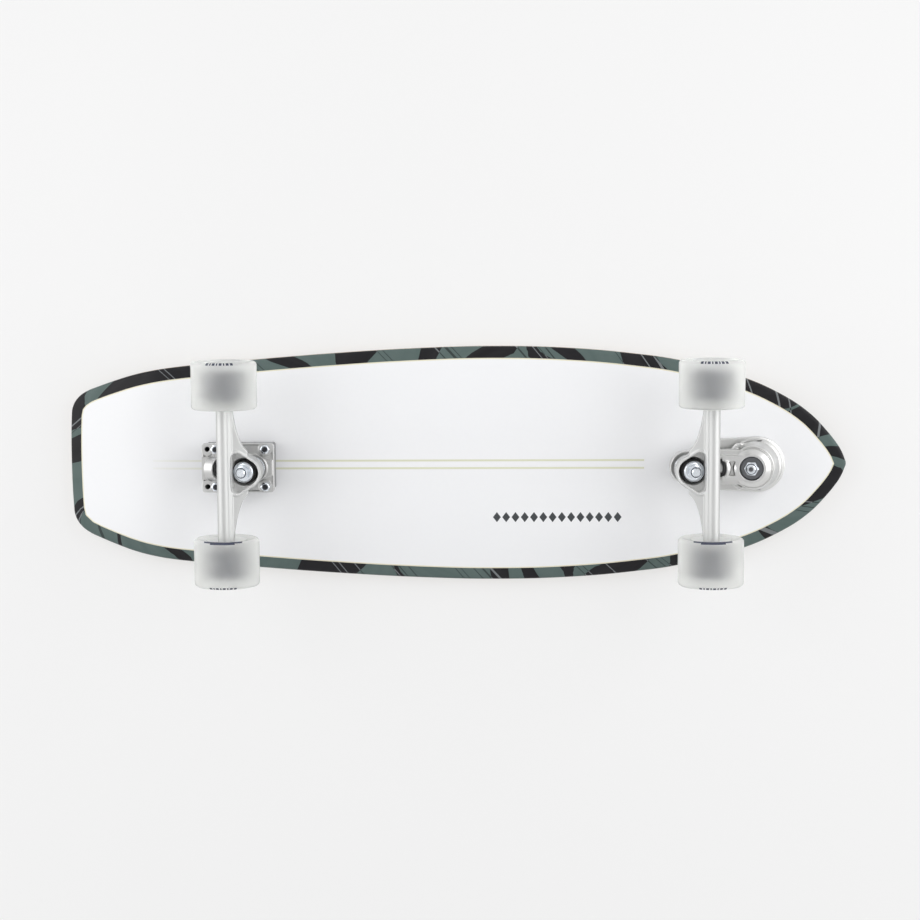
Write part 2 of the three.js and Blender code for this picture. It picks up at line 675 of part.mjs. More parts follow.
// The kingpin with its nut, washers and bushings, all on its leaning axis.
function kingpinSet(end) {
  const ring = ringThickness / 2;
  const bore = kingpinDiameter / 2 + gap;
  const neck = ringBore / 2 - gap;
  const bushing = (length) => turned([
    [bore, ring - bushingNeck], [neck, ring - bushingNeck], [neck, ring + gap],
    [bushingDiameter / 2, ring + gap],
    [bushingDiameter / 2, ring + gap + length - 2 * bushingTaper],
    [bushingDiameter / 2 - bushingTaper, ring + gap + length],
    [bore, ring + gap + length],
  ], roundSides);
  const cup = ring + 2 * gap + bushingLength;
  const nut = cup + cupWasherThickness + gap;
  const tip = nut + kingpinNutHeight + kingpinTip;
  const head = seatReach + headWall + gap;
  const kingpin = joined(
    solid(peg(kingpinDiameter / 2, -tip, head + kingpinHeadHeight, smallSides)),
    solid(hexagon(kingpinHeadWidth, head, head + kingpinHeadHeight)),
  );
  const pieces = [
    piece(`${end}_kingpin`, kingpin, finishes.zinc()),
    piece(`${end}_kingpin_nut`, without(
      solid(hexagon(kingpinHeadWidth, -nut - kingpinNutHeight, -nut)),
      solid(peg(bore, -nut - overrun, -nut + overrun, smallSides)),
    ), finishes.zinc()),
    piece(`${end}_cup_washer`, solid(
      tube(bore, cupWasherDiameter / 2, -cup - cupWasherThickness, -cup, roundSides),
    ), finishes.zinc()),
    piece(`${end}_road_bushing`, solid(bushing(bushingLength).rotateX(Math.PI)), finishes.rubber()),
    piece(`${end}_deck_bushing`, solid(bushing(bushingLength)), finishes.rubber()),
    piece(`${end}_flat_washer`, solid(
      tube(bore, flatWasherDiameter / 2, seatReach - gap - flatWasherThickness, seatReach - gap, roundSides),
    ), finishes.zinc()),
  ];
  pieces.forEach((made) => made.applyMatrix4(kingpinFrame));
  return pieces;
}

// The cup that the hanger's pivot ball turns in.
function pivotCup(end) {
  const mouth = pivotReach - cupReach + gap;
  const floor = pivotReach + pivotRadius + gap;
  const bore = pivotRadius + gap;
  const cup = turned([
    [0, floor], [bore, floor], [bore, mouth], [cupRadius, mouth],
    [cupRadius, floor + cupFloor], [0, floor + cupFloor],
  ], roundSides);
  return piece(`${end}_pivot_cup`, solid(cup.applyMatrix4(steerFrame)), finishes.rubber());
}

// The hanger: two arms along the axle, a bowl round the bushings, and a nose with the pivot ball.
function hanger(end) {
  const half = hangerWidth / 2;
  const ring = ringThickness / 2;
  const alongAxle = (outline) => solid(prism(outline, -half, half).rotateX(Math.PI / 2));
  const arms = alongAxle(wrapped([[-ridgeOffset, 0, ridgeRadius], [armOffset, 0, armRadius]]));

  // The web widens from the hub ends to the bowl: shares of the half-width, and reaches inboard.
  const webShares = [
    [0.97, 0.19], [0.82, 0.21], [0.67, 0.26], [0.57, 0.3], [0.45, 0.38], [0.36, 0.46], [0.28, 0.6],
  ];
  const reach = ringOffset + bowlApexAhead + bowlApexRadius;
  const edge = webShares.map(([across, inShare]) => new THREE.Vector2(inShare * reach, across * half));
  const curve = new THREE.SplineCurve(edge).getPoints(6).map((point) => [point.x, point.y]);
  const mirrored = curve.map(([x, y]) => [x, -y]);
  const webPlan = cornered([[0, edge[0].y], [0, -edge[0].y], ...mirrored, ...curve.reverse()]);
  const shear = new THREE.Matrix4().makeShear(0, webSlope, 0, 0, 0, 0);
  const web = solid(prism(webPlan, -webDrop, webThickness - webDrop).applyMatrix4(shear));

  // The bowl stands on the kingpin's axis. Its outline is a triangle with round corners.
  const bowlOutline = (wall) => wrapped([
    [bowlApexAhead, 0, bowlApexRadius + wall],
    [-bowlCornerBack, bowlCornerSide, bowlCornerRadius + wall],
    [-bowlCornerBack, -bowlCornerSide, bowlCornerRadius + wall],
  ]);
  const seatWall = bushingDiameter / 2 + ringWall;
  const bowl = solid(prism(bowlOutline(ringWall), -bowlDepth, ring / 2, bowlTopShare)
    .applyMatrix4(kingpinFrame));
  const seat = solid(peg(seatWall, -ringSkirt, ring + ringLip, wideSides).applyMatrix4(kingpinFrame));
  const deckSeat = solid(peg(bushingDiameter / 2 + gap, ring, overrun, wideSides)
    .applyMatrix4(kingpinFrame));
  const hollow = solid(prism(bowlOutline(0), -bowlDepth - rimRoom, -ring, hollowTopShare)
    .applyMatrix4(kingpinFrame));
  const mouthBack = axleRadius + gap + boreWall + bowlCornerRadius;
  const mouth = solid(prism(wrapped([
    [ringOffset, 0, bowlApexRadius], [mouthBack, bowlCornerSide, bowlCornerRadius],
    [mouthBack, -bowlCornerSide, bowlCornerRadius],
  ]), -overrun, ringRise - bowlDepth + ridgeRadius / 2));
  const bushingReach = ring + bushingLength + cupWasherThickness + 3 * gap;
  const bushingRoom = solid(peg(bushingDiameter / 2 + gap, -bushingReach, -ring, roundSides)
    .applyMatrix4(kingpinFrame));
  const bore = solid(peg(ringBore / 2, -overrun, overrun, roundSides).applyMatrix4(kingpinFrame));

  // The nose is turned about the steering axis and ends in the pivot ball.
  const [rootShare, waistShare, waistRadiusShare, neckShare, neckRadiusShare] = [0.35, 0.56, 0.8, 1.6, 0.85];
  const root = pivotReach * rootShare;
  const ballShares = [-0.75, -0.4, 0, 0.4, 0.75];
  const ball = ballShares.map((share) => [
    pivotRadius * Math.sqrt(1 - share * share), pivotReach + pivotRadius * share,
  ]);
  const nose = solid(turned([
    [0, root], [noseRadius, root], [noseRadius * waistRadiusShare, pivotReach * waistShare],
    [pivotRadius * neckRadiusShare, pivotReach - pivotRadius * neckShare],
    ...ball, [0, pivotReach + pivotRadius],
  ], smallSides).applyMatrix4(steerFrame));
  const ribSide = cornered([
    [-ridgeOffset - ridgeRadius / 2, 0], [ringOffset / 2, 0], [ringOffset / 2, ringRise],
    [0, ringRise + noseRadius / 2], [-pivotOffset / 3, ringRise + noseRadius / 2],
  ]);
  const rib = solid(prism(ribSide, -ribThickness / 2, ribThickness / 2).rotateX(Math.PI / 2));
  const axleBore = solid(peg(axleRadius + gap, -half - overrun, half + overrun, smallSides)
    .rotateX(Math.PI / 2));
  const body = without(
    joined(arms, web, bowl, seat, nose, rib), hollow, mouth, bushingRoom, deckSeat, bore, axleBore,
  );
  return piece(`${end}_hanger`, body, finishes.casting());
}

// The axle and its two nuts.
function axleSet(end, facing) {
  const nutInner = wheelOffset + hubReach + gap;
  const nutOuter = nutInner + axleNutHeight;
  const reach = nutOuter + axleTip;
  const axle = piece(`${end}_axle`, solid(peg(axleRadius, -reach, reach, smallSides)), finishes.zinc());
  axle.rotation.x = Math.PI / 2;
  const nuts = [['left', 1], ['right', -1]].map(([side, sign]) => {
    const nut = piece(`${end}_${side}_axle_nut`, without(
      solid(hexagon(axleNutWidth, nutInner, nutOuter)),
      solid(peg(axleRadius + gap, nutInner - overrun, nutOuter + overrun, smallSides)),
    ), finishes.zinc());
    nut.rotation.x = -sign * facing * Math.PI / 2;
    return nut;
  });
  return [axle, ...nuts];
}

// One wheel: a urethane tyre cast round a core, which holds two bearings.
function wheel(end, side, sign) {
  const half = wheelWidth / 2;
  const coreHalf = coreWidth / 2;
  const coreRadius = coreDiameter / 2;
  const lipShares = [1, 0.75, 0];
  const lip = lipShares.map((share) => [
    wheelRadius - wheelLip + wheelLip * share, half - wheelLip + wheelLip * Math.sqrt(1 - share * share),
  ]);
  const mirror = (outline) => outline.map(([radius, height]) => [radius, -height]).reverse();
  const bore = [
    [faceOpening / 2, half], [coreRadius + gap - coreStep, coreHalf + gap],
    [coreRadius + gap, coreHalf + gap],
  ];
  const tyreSide = [...lip, ...bore];
  const tyre = turned([...tyreSide, ...mirror(tyreSide)], wideSides);
  const seat = bearingRadius + gap;
  const rib = bearingSpacing / 2 - gap;
  const faceInner = seat + coreFaceWall;
  const coreSide = [
    [coreRadius, coreHalf], [faceInner, coreHalf], [faceInner, hubReach], [seat, hubReach],
    [seat, rib], [seat - coreFaceWall, rib],
  ];
  const core = turned([...coreSide, ...mirror(coreSide)], roundSides);
  const bearing = (inner) => tube(axleRadius + gap, bearingRadius, inner, inner + bearingWidth, smallSides);
  const pieces = [
    piece(`${end}_${side}_wheel`, solid(tyre), finishes.urethane()),
    piece(`${end}_${side}_wheel_core`, solid(core), finishes.hub()),
    piece(`${end}_${side}_outer_bearing`, solid(bearing(bearingSpacing / 2)), finishes.bearing()),
    piece(`${end}_${side}_inner_bearing`, solid(bearing(-hubReach)), finishes.bearing()),
  ];
  const set = new THREE.Group();
  set.rotation.x = -sign * Math.PI / 2;
  set.position.y = sign * wheelOffset;
  set.add(...pieces);
  return set;
}

// A truck in its own frame. Facing is 1 where inboard is the board's +X, and -1 where it is -X.
function truck(end, facing, x) {
  const set = new THREE.Group();
  set.position.set(x, 0, wheelRadius);
  set.rotation.z = facing > 0 ? 0 : Math.PI;
  set.add(...kingpinSet(end), pivotCup(end), hanger(end), ...axleSet(end, facing));
  set.add(wheel(end, 'left', facing), wheel(end, 'right', -facing));
  return set;
}

const board = new THREE.Group();
board.add(deck(), gripTape(), ...boltPlaces().map(deckBolt));
const rearTruck = truck('rear', 1, rearAxleX);
rearTruck.add(riser(), rearBaseplate());
const frontTruck = truck('front', -1, frontAxleX);
frontTruck.add(frontBase(), frontArm(), returnSpring(), ...swivelSet());
board.add(rearTruck, frontTruck);

export default board;
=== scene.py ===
import bpy
import bmesh
import math
from mathutils import Matrix, Vector
from mathutils.bvhtree import BVHTree
from mathutils.geometry import interpolate_bezier
from mathutils.kdtree import KDTree


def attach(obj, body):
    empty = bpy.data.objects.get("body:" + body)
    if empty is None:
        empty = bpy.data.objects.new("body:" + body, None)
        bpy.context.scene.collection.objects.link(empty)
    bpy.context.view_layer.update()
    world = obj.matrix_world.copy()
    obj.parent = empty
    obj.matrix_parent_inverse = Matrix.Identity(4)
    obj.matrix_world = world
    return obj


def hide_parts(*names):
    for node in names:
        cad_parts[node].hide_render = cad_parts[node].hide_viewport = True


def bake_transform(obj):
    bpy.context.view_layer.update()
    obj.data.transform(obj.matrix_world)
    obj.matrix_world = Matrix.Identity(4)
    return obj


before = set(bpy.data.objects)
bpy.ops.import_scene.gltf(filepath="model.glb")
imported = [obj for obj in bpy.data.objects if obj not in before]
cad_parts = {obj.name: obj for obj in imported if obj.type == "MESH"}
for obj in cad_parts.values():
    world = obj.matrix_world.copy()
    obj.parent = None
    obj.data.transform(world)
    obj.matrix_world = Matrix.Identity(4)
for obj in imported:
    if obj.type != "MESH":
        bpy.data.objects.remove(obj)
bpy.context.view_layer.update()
mm = 0.001  # the dictionaries below are in millimetres
print("frame loaded")


class Values:  # reads a dictionary's entries as attributes
    def __init__(self, entries):
        for name, value in entries.items():
            setattr(self, name, value)


def linked(name, data):  # an object in the scene
    made = bpy.data.objects.new(name, data)
    bpy.context.collection.objects.link(made)
    return made


cameraValues = {
    "focal": 82.75, "sensor": 36, "near": 0.05, "far": 60,
    "distance": 2331.9, "target": (8.4, -4.81, 119.5),
    "yaw": -0.036, "pitch": 0.1121, "roll": 0.006,
}


def placeCamera(camera):
    data = bpy.data.cameras.new("camera")
    data.lens, data.sensor_width = camera.focal, camera.sensor
    data.clip_start, data.clip_end = camera.near, camera.far
    seen = linked("camera", data)
    look = (
        Matrix.Rotation(camera.roll, 3, "Z") @ Matrix.Rotation(camera.pitch, 3, "X")
        @ Matrix.Rotation(camera.yaw, 3, "Y") @ Matrix.Diagonal((1, -1, -1))
    )
    back = look.transposed() @ Vector((0, 0, camera.distance))
    place = (Vector(camera.target) + back) * mm
    seen.matrix_world = Matrix.Translation(place) @ look.transposed().to_4x4()
    bpy.context.scene.camera = seen


placeCamera(Values(cameraValues))


# shapes in millimetres

def upBy(height):
    return Matrix.Translation((0, 0, height))


def turned(angle, axis):
    return Matrix.Rotation(angle, 4, axis)


def lay(origin, direction):  # turns +Z to a direction
    turn = Vector((0, 0, 1)).rotation_difference(Vector(direction).normalized())
    return Matrix.Translation(origin) @ turn.to_matrix().to_4x4()


def moved(bm, place):
    if place:
        bm.transform(place)
    return bm


def toMesh(bm, name):
    mesh = bpy.data.meshes.new(name)
    bm.to_mesh(mesh)
    bm.free()
    return mesh


def fromMesh(mesh):
    bm = bmesh.new()
    bm.from_mesh(mesh)
    bpy.data.meshes.remove(mesh)
    return bm


def curveMesh(data):
    made = bpy.data.objects.new("curve", data)
    mesh = bpy.data.meshes.new_from_object(made)
    bpy.data.objects.remove(made)
    bpy.data.curves.remove(data)
    return mesh


def vertsIn(grown):
    return [part for part in grown["geom"] if isinstance(part, bmesh.types.BMVert)]


def ease(bm, parts, radius, segments, kind):  # rounds edges or vertices off
    bmesh.ops.bevel(
        bm, geom=parts, offset=radius, offset_type="OFFSET", segments=segments,
        profile=0.5, affect=kind, clamp_overlap=kind == "EDGES", material=-1,
    )


def spun(profile, sides=64, rounding=None, place=None):  # corners are [radius, height]; rounding is {corner: radius}
    bm = bmesh.new()
    corners = [bm.verts.new((radius, 0, height)) for radius, height in profile]
    for a, b in zip(corners, corners[1:] + corners[:1]):
        if a.co.x > 1e-6 or b.co.x > 1e-6:
            bm.edges.new((a, b))
    for corner, radius in (rounding or {}).items():
        ease(bm, [corners[corner]], radius, 4, "VERTICES")
    bmesh.ops.spin(
        bm, geom=bm.verts[:] + bm.edges[:], cent=(0, 0, 0), axis=(0, 0, 1),
        angle=2 * math.pi, steps=sides, use_merge=True,
    )
    bmesh.ops.remove_doubles(bm, verts=bm.verts, dist=0.001)
    bmesh.ops.recalc_face_normals(bm, faces=bm.faces)
    return moved(bm, place)


def mirrored(profile):
    return profile + [[radius, -height] for radius, height in reversed(profile)]


def peg(radius, low, high, sides=64, place=None, rounding=None, bore=0):
    return spun([[bore, low], [radius, low], [radius, high], [bore, high]], sides, rounding, place)


def standUp(bm, height, topShare=1, edge=0, segments=3):  # stretches a flat shape along Z and eases its rims
    lifted = vertsIn(bmesh.ops.extrude_face_region(bm, geom=bm.faces[:]))
    bmesh.ops.translate(bm, verts=lifted, vec=(0, 0, height))
    bmesh.ops.scale(bm, verts=lifted, vec=(topShare, topShare, 1))
    bmesh.ops.recalc_face_normals(bm, faces=bm.faces)
    if edge:
        rims = [line for line in bm.edges if abs(line.verts[0].co.z - line.verts[1].co.z) < 1e-4]
        ease(bm, rims, edge, segments, "EDGES")


def raised(outline, low, high, place=None, topShare=1, edge=0):  # a flat outline stood up along Z
    bm = bmesh.new()
    bm.faces.new([bm.verts.new((x, y, low)) for x, y in outline])
    standUp(bm, high - low, topShare, edge)
    return moved(bm, place)


def hexagon(width):
    radius = width / math.sqrt(3)
    return [[radius * math.cos(i * math.pi / 3), radius * math.sin(i * math.pi / 3)] for i in range(6)]


def wrapped(circles, steps=10):  # an outline stretched round circles [x, y, radius], listed anticlockwise
    following = circles[1:] + circles[:1]
    angles = []
    for (x, y, radius), (nextX, nextY, nextRadius) in zip(circles, following):
        span = math.hypot(nextX - x, nextY - y)
        angles.append(math.atan2(nextY - y, nextX - x) - math.acos((radius - nextRadius) / span))
    outline = []
    for i, (x, y, radius) in enumerate(circles):
        start, end = angles[i - 1], angles[i]
        while end < start:
            end += 2 * math.pi
        for step in range(steps + 1):
            angle = start + (end - start) * step / steps
            outline.append([x + radius * math.cos(angle), y + radius * math.sin(angle)])
    return outline


def block(low, high, place=None):
    bm = bmesh.new()
    bmesh.ops.create_cube(bm, size=1)
    bmesh.ops.scale(bm, verts=bm.verts, vec=[b - a for a, b in zip(low, high)])
    bmesh.ops.translate(bm, verts=bm.verts, vec=[(a + b) / 2 for a, b in zip(low, high)])
    return moved(bm, place)


def together(*shapes, place=None):
    whole = bmesh.new()
    for shape in shapes:
        loose = toMesh(shape, "loose")
        whole.from_mesh(loose)
        bpy.data.meshes.remove(loose)
    return moved(whole, place)


def paint(bm, index, chosen):  # gives a material to the faces whose middles are chosen
    for face in bm.faces:
        if chosen(face.calc_center_median()):
            face.material_index = index


def smoothLine(points, steps):  # a soft line through points
    ends = [Vector(point) for point in [points[0], *points, points[-1]]]
    line = []
    for a, b, c, d in zip(ends, ends[1:], ends[2:], ends[3:]):
        line += [tuple(spot) for spot in interpolate_bezier(b, b + (c - a) / 6, c - (d - b) / 6, c, steps + 1)[:-1]]
    return line + [tuple(points[-1])]


def eased(share):  # from 0 to 1 with soft ends
    share = min(max(share, 0), 1)
    return share * share * (3 - 2 * share)


def finish(bm, name, body, slot, materials, place=None, angle=35, replaced=()):
    moved(bm, place).transform(Matrix.Scale(mm, 4))
    mesh = toMesh(bm, name)
    for material in materials:
        mesh.materials.append(bpy.data.materials[material])
    mesh.shade_smooth()
    mesh.set_sharp_from_angle(angle=math.radians(angle))
    piece = linked(name, mesh)
    if body:
        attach(piece, body)
    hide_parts(*replaced)
    return piece


def carve(base, joins=(), within=(), cuts=(), soft=None):  # joins, trims and cuts shapes; soft rounds off a casting
    first = linked("helper", toMesh(base, "helper"))
    tools = []
    for shapes, kind in ((joins, "UNION"), (within, "INTERSECT"), (cuts, "DIFFERENCE")):
        for shape in shapes:
            tools.append(linked("helper", toMesh(shape, "helper")))
            step = first.modifiers.new(kind, "BOOLEAN")
            step.object, step.operation, step.solver = tools[-1], kind, "MANIFOLD"
    if soft:
        remesh = first.modifiers.new("remesh", "REMESH")
        remesh.mode, remesh.voxel_size = "VOXEL", soft.grain
        smooth = first.modifiers.new("smooth", "SMOOTH")
        smooth.factor, smooth.iterations = 0.5, soft.soften
        first.modifiers.new("thin", "DECIMATE").ratio = soft.keep
    graph = bpy.context.evaluated_depsgraph_get()
    mesh = bpy.data.meshes.new_from_object(first.evaluated_get(graph))
    for made in [first, *tools]:
        data = made.data
        bpy.data.objects.remove(made)
        bpy.data.meshes.remove(data)
    return fromMesh(mesh)


# materials

class Nodes:  # builds a node tree; an input takes a value or another node's output
    def __init__(self, tree):
        self.tree = tree

    def give(self, node, inputs):
        for name, value in inputs.items():
            socket = node.inputs[name]
            if isinstance(value, bpy.types.NodeSocket):
                self.tree.links.new(value, socket)
            else:
                socket.default_value = (*value, 1) if socket.type == "RGBA" else value

    def add(self, kind, inputs=None, **settings):
        node = self.tree.nodes.new(kind if kind.startswith("Node") else "ShaderNode" + kind)
        for name, value in settings.items():
            setattr(node, name, value)
        self.give(node, inputs or {})
        return node

    def math(self, operation, *values, clamp=False):
        return self.add("Math", dict(enumerate(values)), operation=operation, use_clamp=clamp).outputs[0]

    def mix(self, factor, first, second):
        return self.add("Mix", {0: factor, 6: first, 7: second}, data_type="RGBA").outputs[2]

    def scaled(self, color, factor):
        return self.add("VectorMath", {0: color, "Scale": factor}, operation="SCALE").outputs[0]

    def noise(self, place, scale, detail):
        return self.add("TexNoise", {"Vector": place, "Scale": scale, "Detail": detail}).outputs["Fac"]

    def bump(self, surface, strength, depth, height):
        lift = self.add("Bump", {"Strength": strength, "Distance": depth * mm, "Height": height})
        self.give(surface, {"Normal": lift.outputs["Normal"]})


def startMaterial(name, color, roughness, metallic=0.0):
    material = bpy.data.materials.new(name)
    material.use_nodes = True
    tree = Nodes(material.node_tree)
    surface = material.node_tree.nodes["Principled BSDF"]
    tree.give(surface, {"Base Color": color, "Roughness": roughness, "Metallic": metallic})
    return tree, surface, tree.add("TexCoord").outputs["Object"]


def makeUnevenGroup():  # slow cloudiness and fine grain for any finish
    group = bpy.data.node_groups.new("unevenFinish", "ShaderNodeTree")
    for way, kind, names in (
        ("INPUT", "Vector", ["Vector"]), ("INPUT", "Color", ["Color"]),
        ("INPUT", "Float", ["Roughness", "Cloud Scale", "Grain Scale", "Tone", "Spread"]),
        ("OUTPUT", "Color", ["Color"]), ("OUTPUT", "Float", ["Roughness", "Height"]),
    ):
        for name in names:
            group.interface.new_socket(name=name, in_out=way, socket_type="NodeSocket" + kind)
    tree = Nodes(group)
    given = tree.add("NodeGroupInput").outputs
    cloud = tree.noise(given["Vector"], given["Cloud Scale"], 4)
    grain = tree.noise(given["Vector"], given["Grain Scale"], 2)
    centred = tree.math("SUBTRACT", tree.math("ADD", cloud, grain), 1.0)
    tone = tree.math("MULTIPLY_ADD", centred, given["Tone"], 1.0)
    spread = tree.math("MULTIPLY", centred, given["Spread"])
    tree.add("NodeGroupOutput", {
        "Color": tree.scaled(given["Color"], tone),
        "Roughness": tree.math("ADD", given["Roughness"], spread, clamp=True), "Height": grain,
    })
    return group


unevenGroup = makeUnevenGroup()


def uneven(tree, place, color, roughness, cloud, grain, tone, spread):
    return tree.add("Group", {
        "Vector": place, "Color": color, "Roughness": roughness, "Cloud Scale": cloud, "Grain Scale": grain,
        "Tone": tone, "Spread": spread,
    }, node_tree=unevenGroup).outputs


def plainFinish(name, color, roughness, metallic, cloud, grain, tone, spread, bump=0, depth=0):
    tree, surface, place = startMaterial(name, color, roughness, metallic)
    made = uneven(tree, place, color, roughness, cloud, grain, tone, spread)
    tree.give(surface, {"Base Color": made["Color"], "Roughness": made["Roughness"]})
    if bump:
        tree.bump(surface, bump, depth, made["Height"])


# deck and grip tape

deckValues = {
    "length": 864, "width": 259.7, "thickness": 11, "underside": 120.16,
    "edge": 3.4, "tailCorner": 29, "tailHalf": 50, "tailBulge": 2.2,
    "kickLength": 130, "kickBend": 70, "kickRise": 34, "concave": 8, "flat": 66,
    "rail": [  # shares of the length and of the half width
        [0.0258, 0.618], [0.0386, 0.652], [0.0644, 0.712], [0.0901, 0.764], [0.1159, 0.802], [0.1417, 0.828],
        [0.205, 0.868], [0.2704, 0.9055], [0.3477, 0.944], [0.4507, 0.983], [0.5538, 1.0], [0.6568, 0.979],
        [0.7341, 0.931], [0.7856, 0.881], [0.8629, 0.746], [0.9144, 0.599], [0.953, 0.431], [0.9762, 0.272],
        [0.9865, 0.186], [0.993, 0.121], [0.9982, 0.042], [1.0, 0.0],
    ],
    "stepLong": 9, "stepWide": 7.4,
    "gripInset": 4.2, "gripShift": 1.0, "gripLow": 0.1, "gripHigh": 1.45,
    "white": (0.885, 0.89, 0.905), "lacquer": (0.3, 14, 260, 0.018, 0.08),
    "band": 12.9, "line": 1.3, "leans": [[1.3, 61, 0.4], [0.9, 23, 2.0]], "lineLean": 0.9,
    "blockScale": 21, "blockShift": 0.9, "tintScale": 60,
    "charcoal": [(0.010, 0.009, 0.011), (0.026, 0.026, 0.028)],
    "greyGreen": [(0.082, 0.118, 0.110), (0.125, 0.165, 0.158)],
    "groupScale": 30, "groupFrom": 0.56, "veinScale": 34, "veinCount": 7, "veinHalf": 0.075, "veinShow": 0.7,
    "veinOnDark": (0.26, 0.28, 0.29), "veinOnGreen": (0.015, 0.016, 0.018),
    "stripe": 4.25, "stripeHalf": 1.05, "stripeFrom": -333, "stripeTo": 211, "stripeShow": 0.86, "fade": (5.5, 1.95),
    "markFrom": 43.7, "markTo": 187.2, "markSide": 59, "markHalf": 5.7, "markStep": 10.25, "markSlope": 0.76,
    "stripeColor": (0.66, 0.665, 0.47), "markColor": (0.045, 0.05, 0.055), "lineColor": (0.80, 0.76, 0.60),
    "plies": [
        (0, (0.66, 0.50, 0.32)), (0.13, (0.56, 0.40, 0.24)), (0.28, (0.70, 0.54, 0.35)), (0.43, (0.50, 0.35, 0.21)),
        (0.57, (0.68, 0.52, 0.34)), (0.72, (0.56, 0.40, 0.24)), (0.87, (0.68, 0.53, 0.35)),
    ],
    "grainStretch": (6, 60, 60), "woodRough": 0.55, "paintRough": 0.33, "bandGloss": 0.14,
    "gritScale": 1700, "gritFrom": 0.82, "gripShades": [(0.014, 0.014, 0.015), (0.034, 0.034, 0.036)],
    "gritColor": (0.11, 0.11, 0.115),
}


def railCurve(deck):  # the deck's outline in the flat, as a closed loop of edges
    corner, tailHalf = deck.tailCorner, deck.tailHalf
    upper = [
        [deck.tailBulge, tailHalf], [corner * 0.14, tailHalf + corner * 0.42],
        [corner * 0.38, tailHalf + corner * 0.78],
        *[[along * deck.length, across * deck.width / 2] for along, across in deck.rail],
    ]
    knots = upper + [[x, -y] for x, y in reversed(upper[:-1])]
    data = bpy.data.curves.new("rail", "CURVE")
    data.dimensions, data.fill_mode, data.resolution_u = "2D", "NONE", 6
    spline = data.splines.new("BEZIER")
    spline.bezier_points.add(len(knots) - 1)
    for knot, (x, y) in zip(spline.bezier_points, knots):
        knot.co = (x - deck.length / 2, y, 0)
        knot.handle_left_type = knot.handle_right_type = "AUTO"
    spline.use_cyclic_u = True
    return curveMesh(data)


def runAlong(rail):  # finds how far round the outline a point lies, and the outline's whole length
    knots = [vertex.co.copy() for vertex in rail.vertices]
    lengths = [0]
    for a, b in zip(knots, knots[1:]):
        lengths.append(lengths[-1] + (b - a).length)
    whole = lengths[-1] + (knots[0] - knots[-1]).length
    tree = KDTree(len(knots))
    for i, knot in enumerate(knots):
        tree.insert(knot, i)
    tree.balance()

    def find(spot):
        nearest, i, _ = tree.find(spot)
        ahead = (knots[(i + 1) % len(knots)] - knots[i - 1]).normalized()
        return lengths[i] + (spot - nearest).dot(ahead)

    return find, whole


def wallAround(rail):  # a tall wall on the outline, to measure distances from it
    bm = bmesh.new()
    bm.from_mesh(rail)
    grown = bmesh.ops.extrude_edge_only(bm, edges=bm.edges[:])
    bmesh.ops.translate(bm, verts=bm.verts, vec=(0, 0, -80))
    bmesh.ops.translate(bm, verts=vertsIn(grown), vec=(0, 0, 160))
    tree = BVHTree.FromBMesh(bm)
    bm.free()
    return tree


def deckRise(deck, x, y):  # kicktail and concave, as height above the flat middle
    fromTail = x + deck.length / 2
    bend = deck.kickBend
    slope = deck.kickRise / (deck.kickLength - bend / 2)
    into = max(deck.kickLength - fromTail, 0)
    kick = slope * into * into / (2 * bend) if into < bend else slope * (into - bend / 2)
    out = max(abs(y) - deck.flat / 2, 0) / (deck.width / 2 - deck.flat / 2)
    return kick + deck.concave * eased(fromTail / deck.kickLength) * out * out


def deckSheet(deck, rail, wall, low, high, edge, inset=0):  # a layer of the board, bent to its shape
    bm = bmesh.new()
    bm.from_mesh(rail)
    bmesh.ops.contextual_create(bm, geom=bm.edges[:])
    bmesh.ops.remove_doubles(bm, verts=bm.verts, dist=0.05)
    if inset:
        bmesh.ops.scale(bm, verts=bm.verts, vec=(1 - 2 * inset / deck.length, 1 - 2 * inset / deck.width, 1))
        bmesh.ops.translate(bm, verts=bm.verts, vec=(deck.gripShift, 0, 0))
    bmesh.ops.translate(bm, verts=bm.verts, vec=(0, 0, low))
    standUp(bm, high - low, 1, edge, 4)
    long, half = deck.length / 2, deck.width / 2
    columns, rows = int(2 * long / deck.stepLong), int(half / deck.stepWide)
    cuts = [((-long + deck.stepLong * i, 0, 0), (1, 0, 0)) for i in range(1, columns)]
    cuts += [((0, deck.stepWide * i, 0), (0, 1, 0)) for i in range(-rows, rows + 1)]
    for point, normal in cuts:
        bmesh.ops.bisect_plane(
            bm, geom=bm.verts[:] + bm.edges[:] + bm.faces[:], plane_co=point, plane_no=normal, dist=1e-4,
        )
    rimLayer = bm.verts.layers.float.new("rimDistance")
    plyLayer = bm.verts.layers.float.new("ply")
    flowLayer = bm.verts.layers.float_vector.new("bandFlow")
    lineLayer = bm.verts.layers.float_vector.new("bandLines")
    findRun, whole = runAlong(rail)
    for vertex in bm.verts:
        flat = Vector((vertex.co.x, vertex.co.y, 0))
        depth = wall.find_nearest(flat)[3]
        run = findRun(flat)
        lean = sum(size * math.sin(run / period + start) for size, period, start in deck.leans)
        for layer, shift in ((flowLayer, lean * depth), (lineLayer, deck.lineLean * depth)):
            angle = 2 * math.pi * (run + shift) / whole
            vertex[layer] = Vector((math.cos(angle), math.sin(angle), 0)) * whole / (2 * math.pi) * mm
        vertex[rimLayer] = depth
        vertex[plyLayer] = vertex.co.z
        vertex.co.z += deck.underside + deckRise(deck, vertex.co.x, vertex.co.y)
    return bm


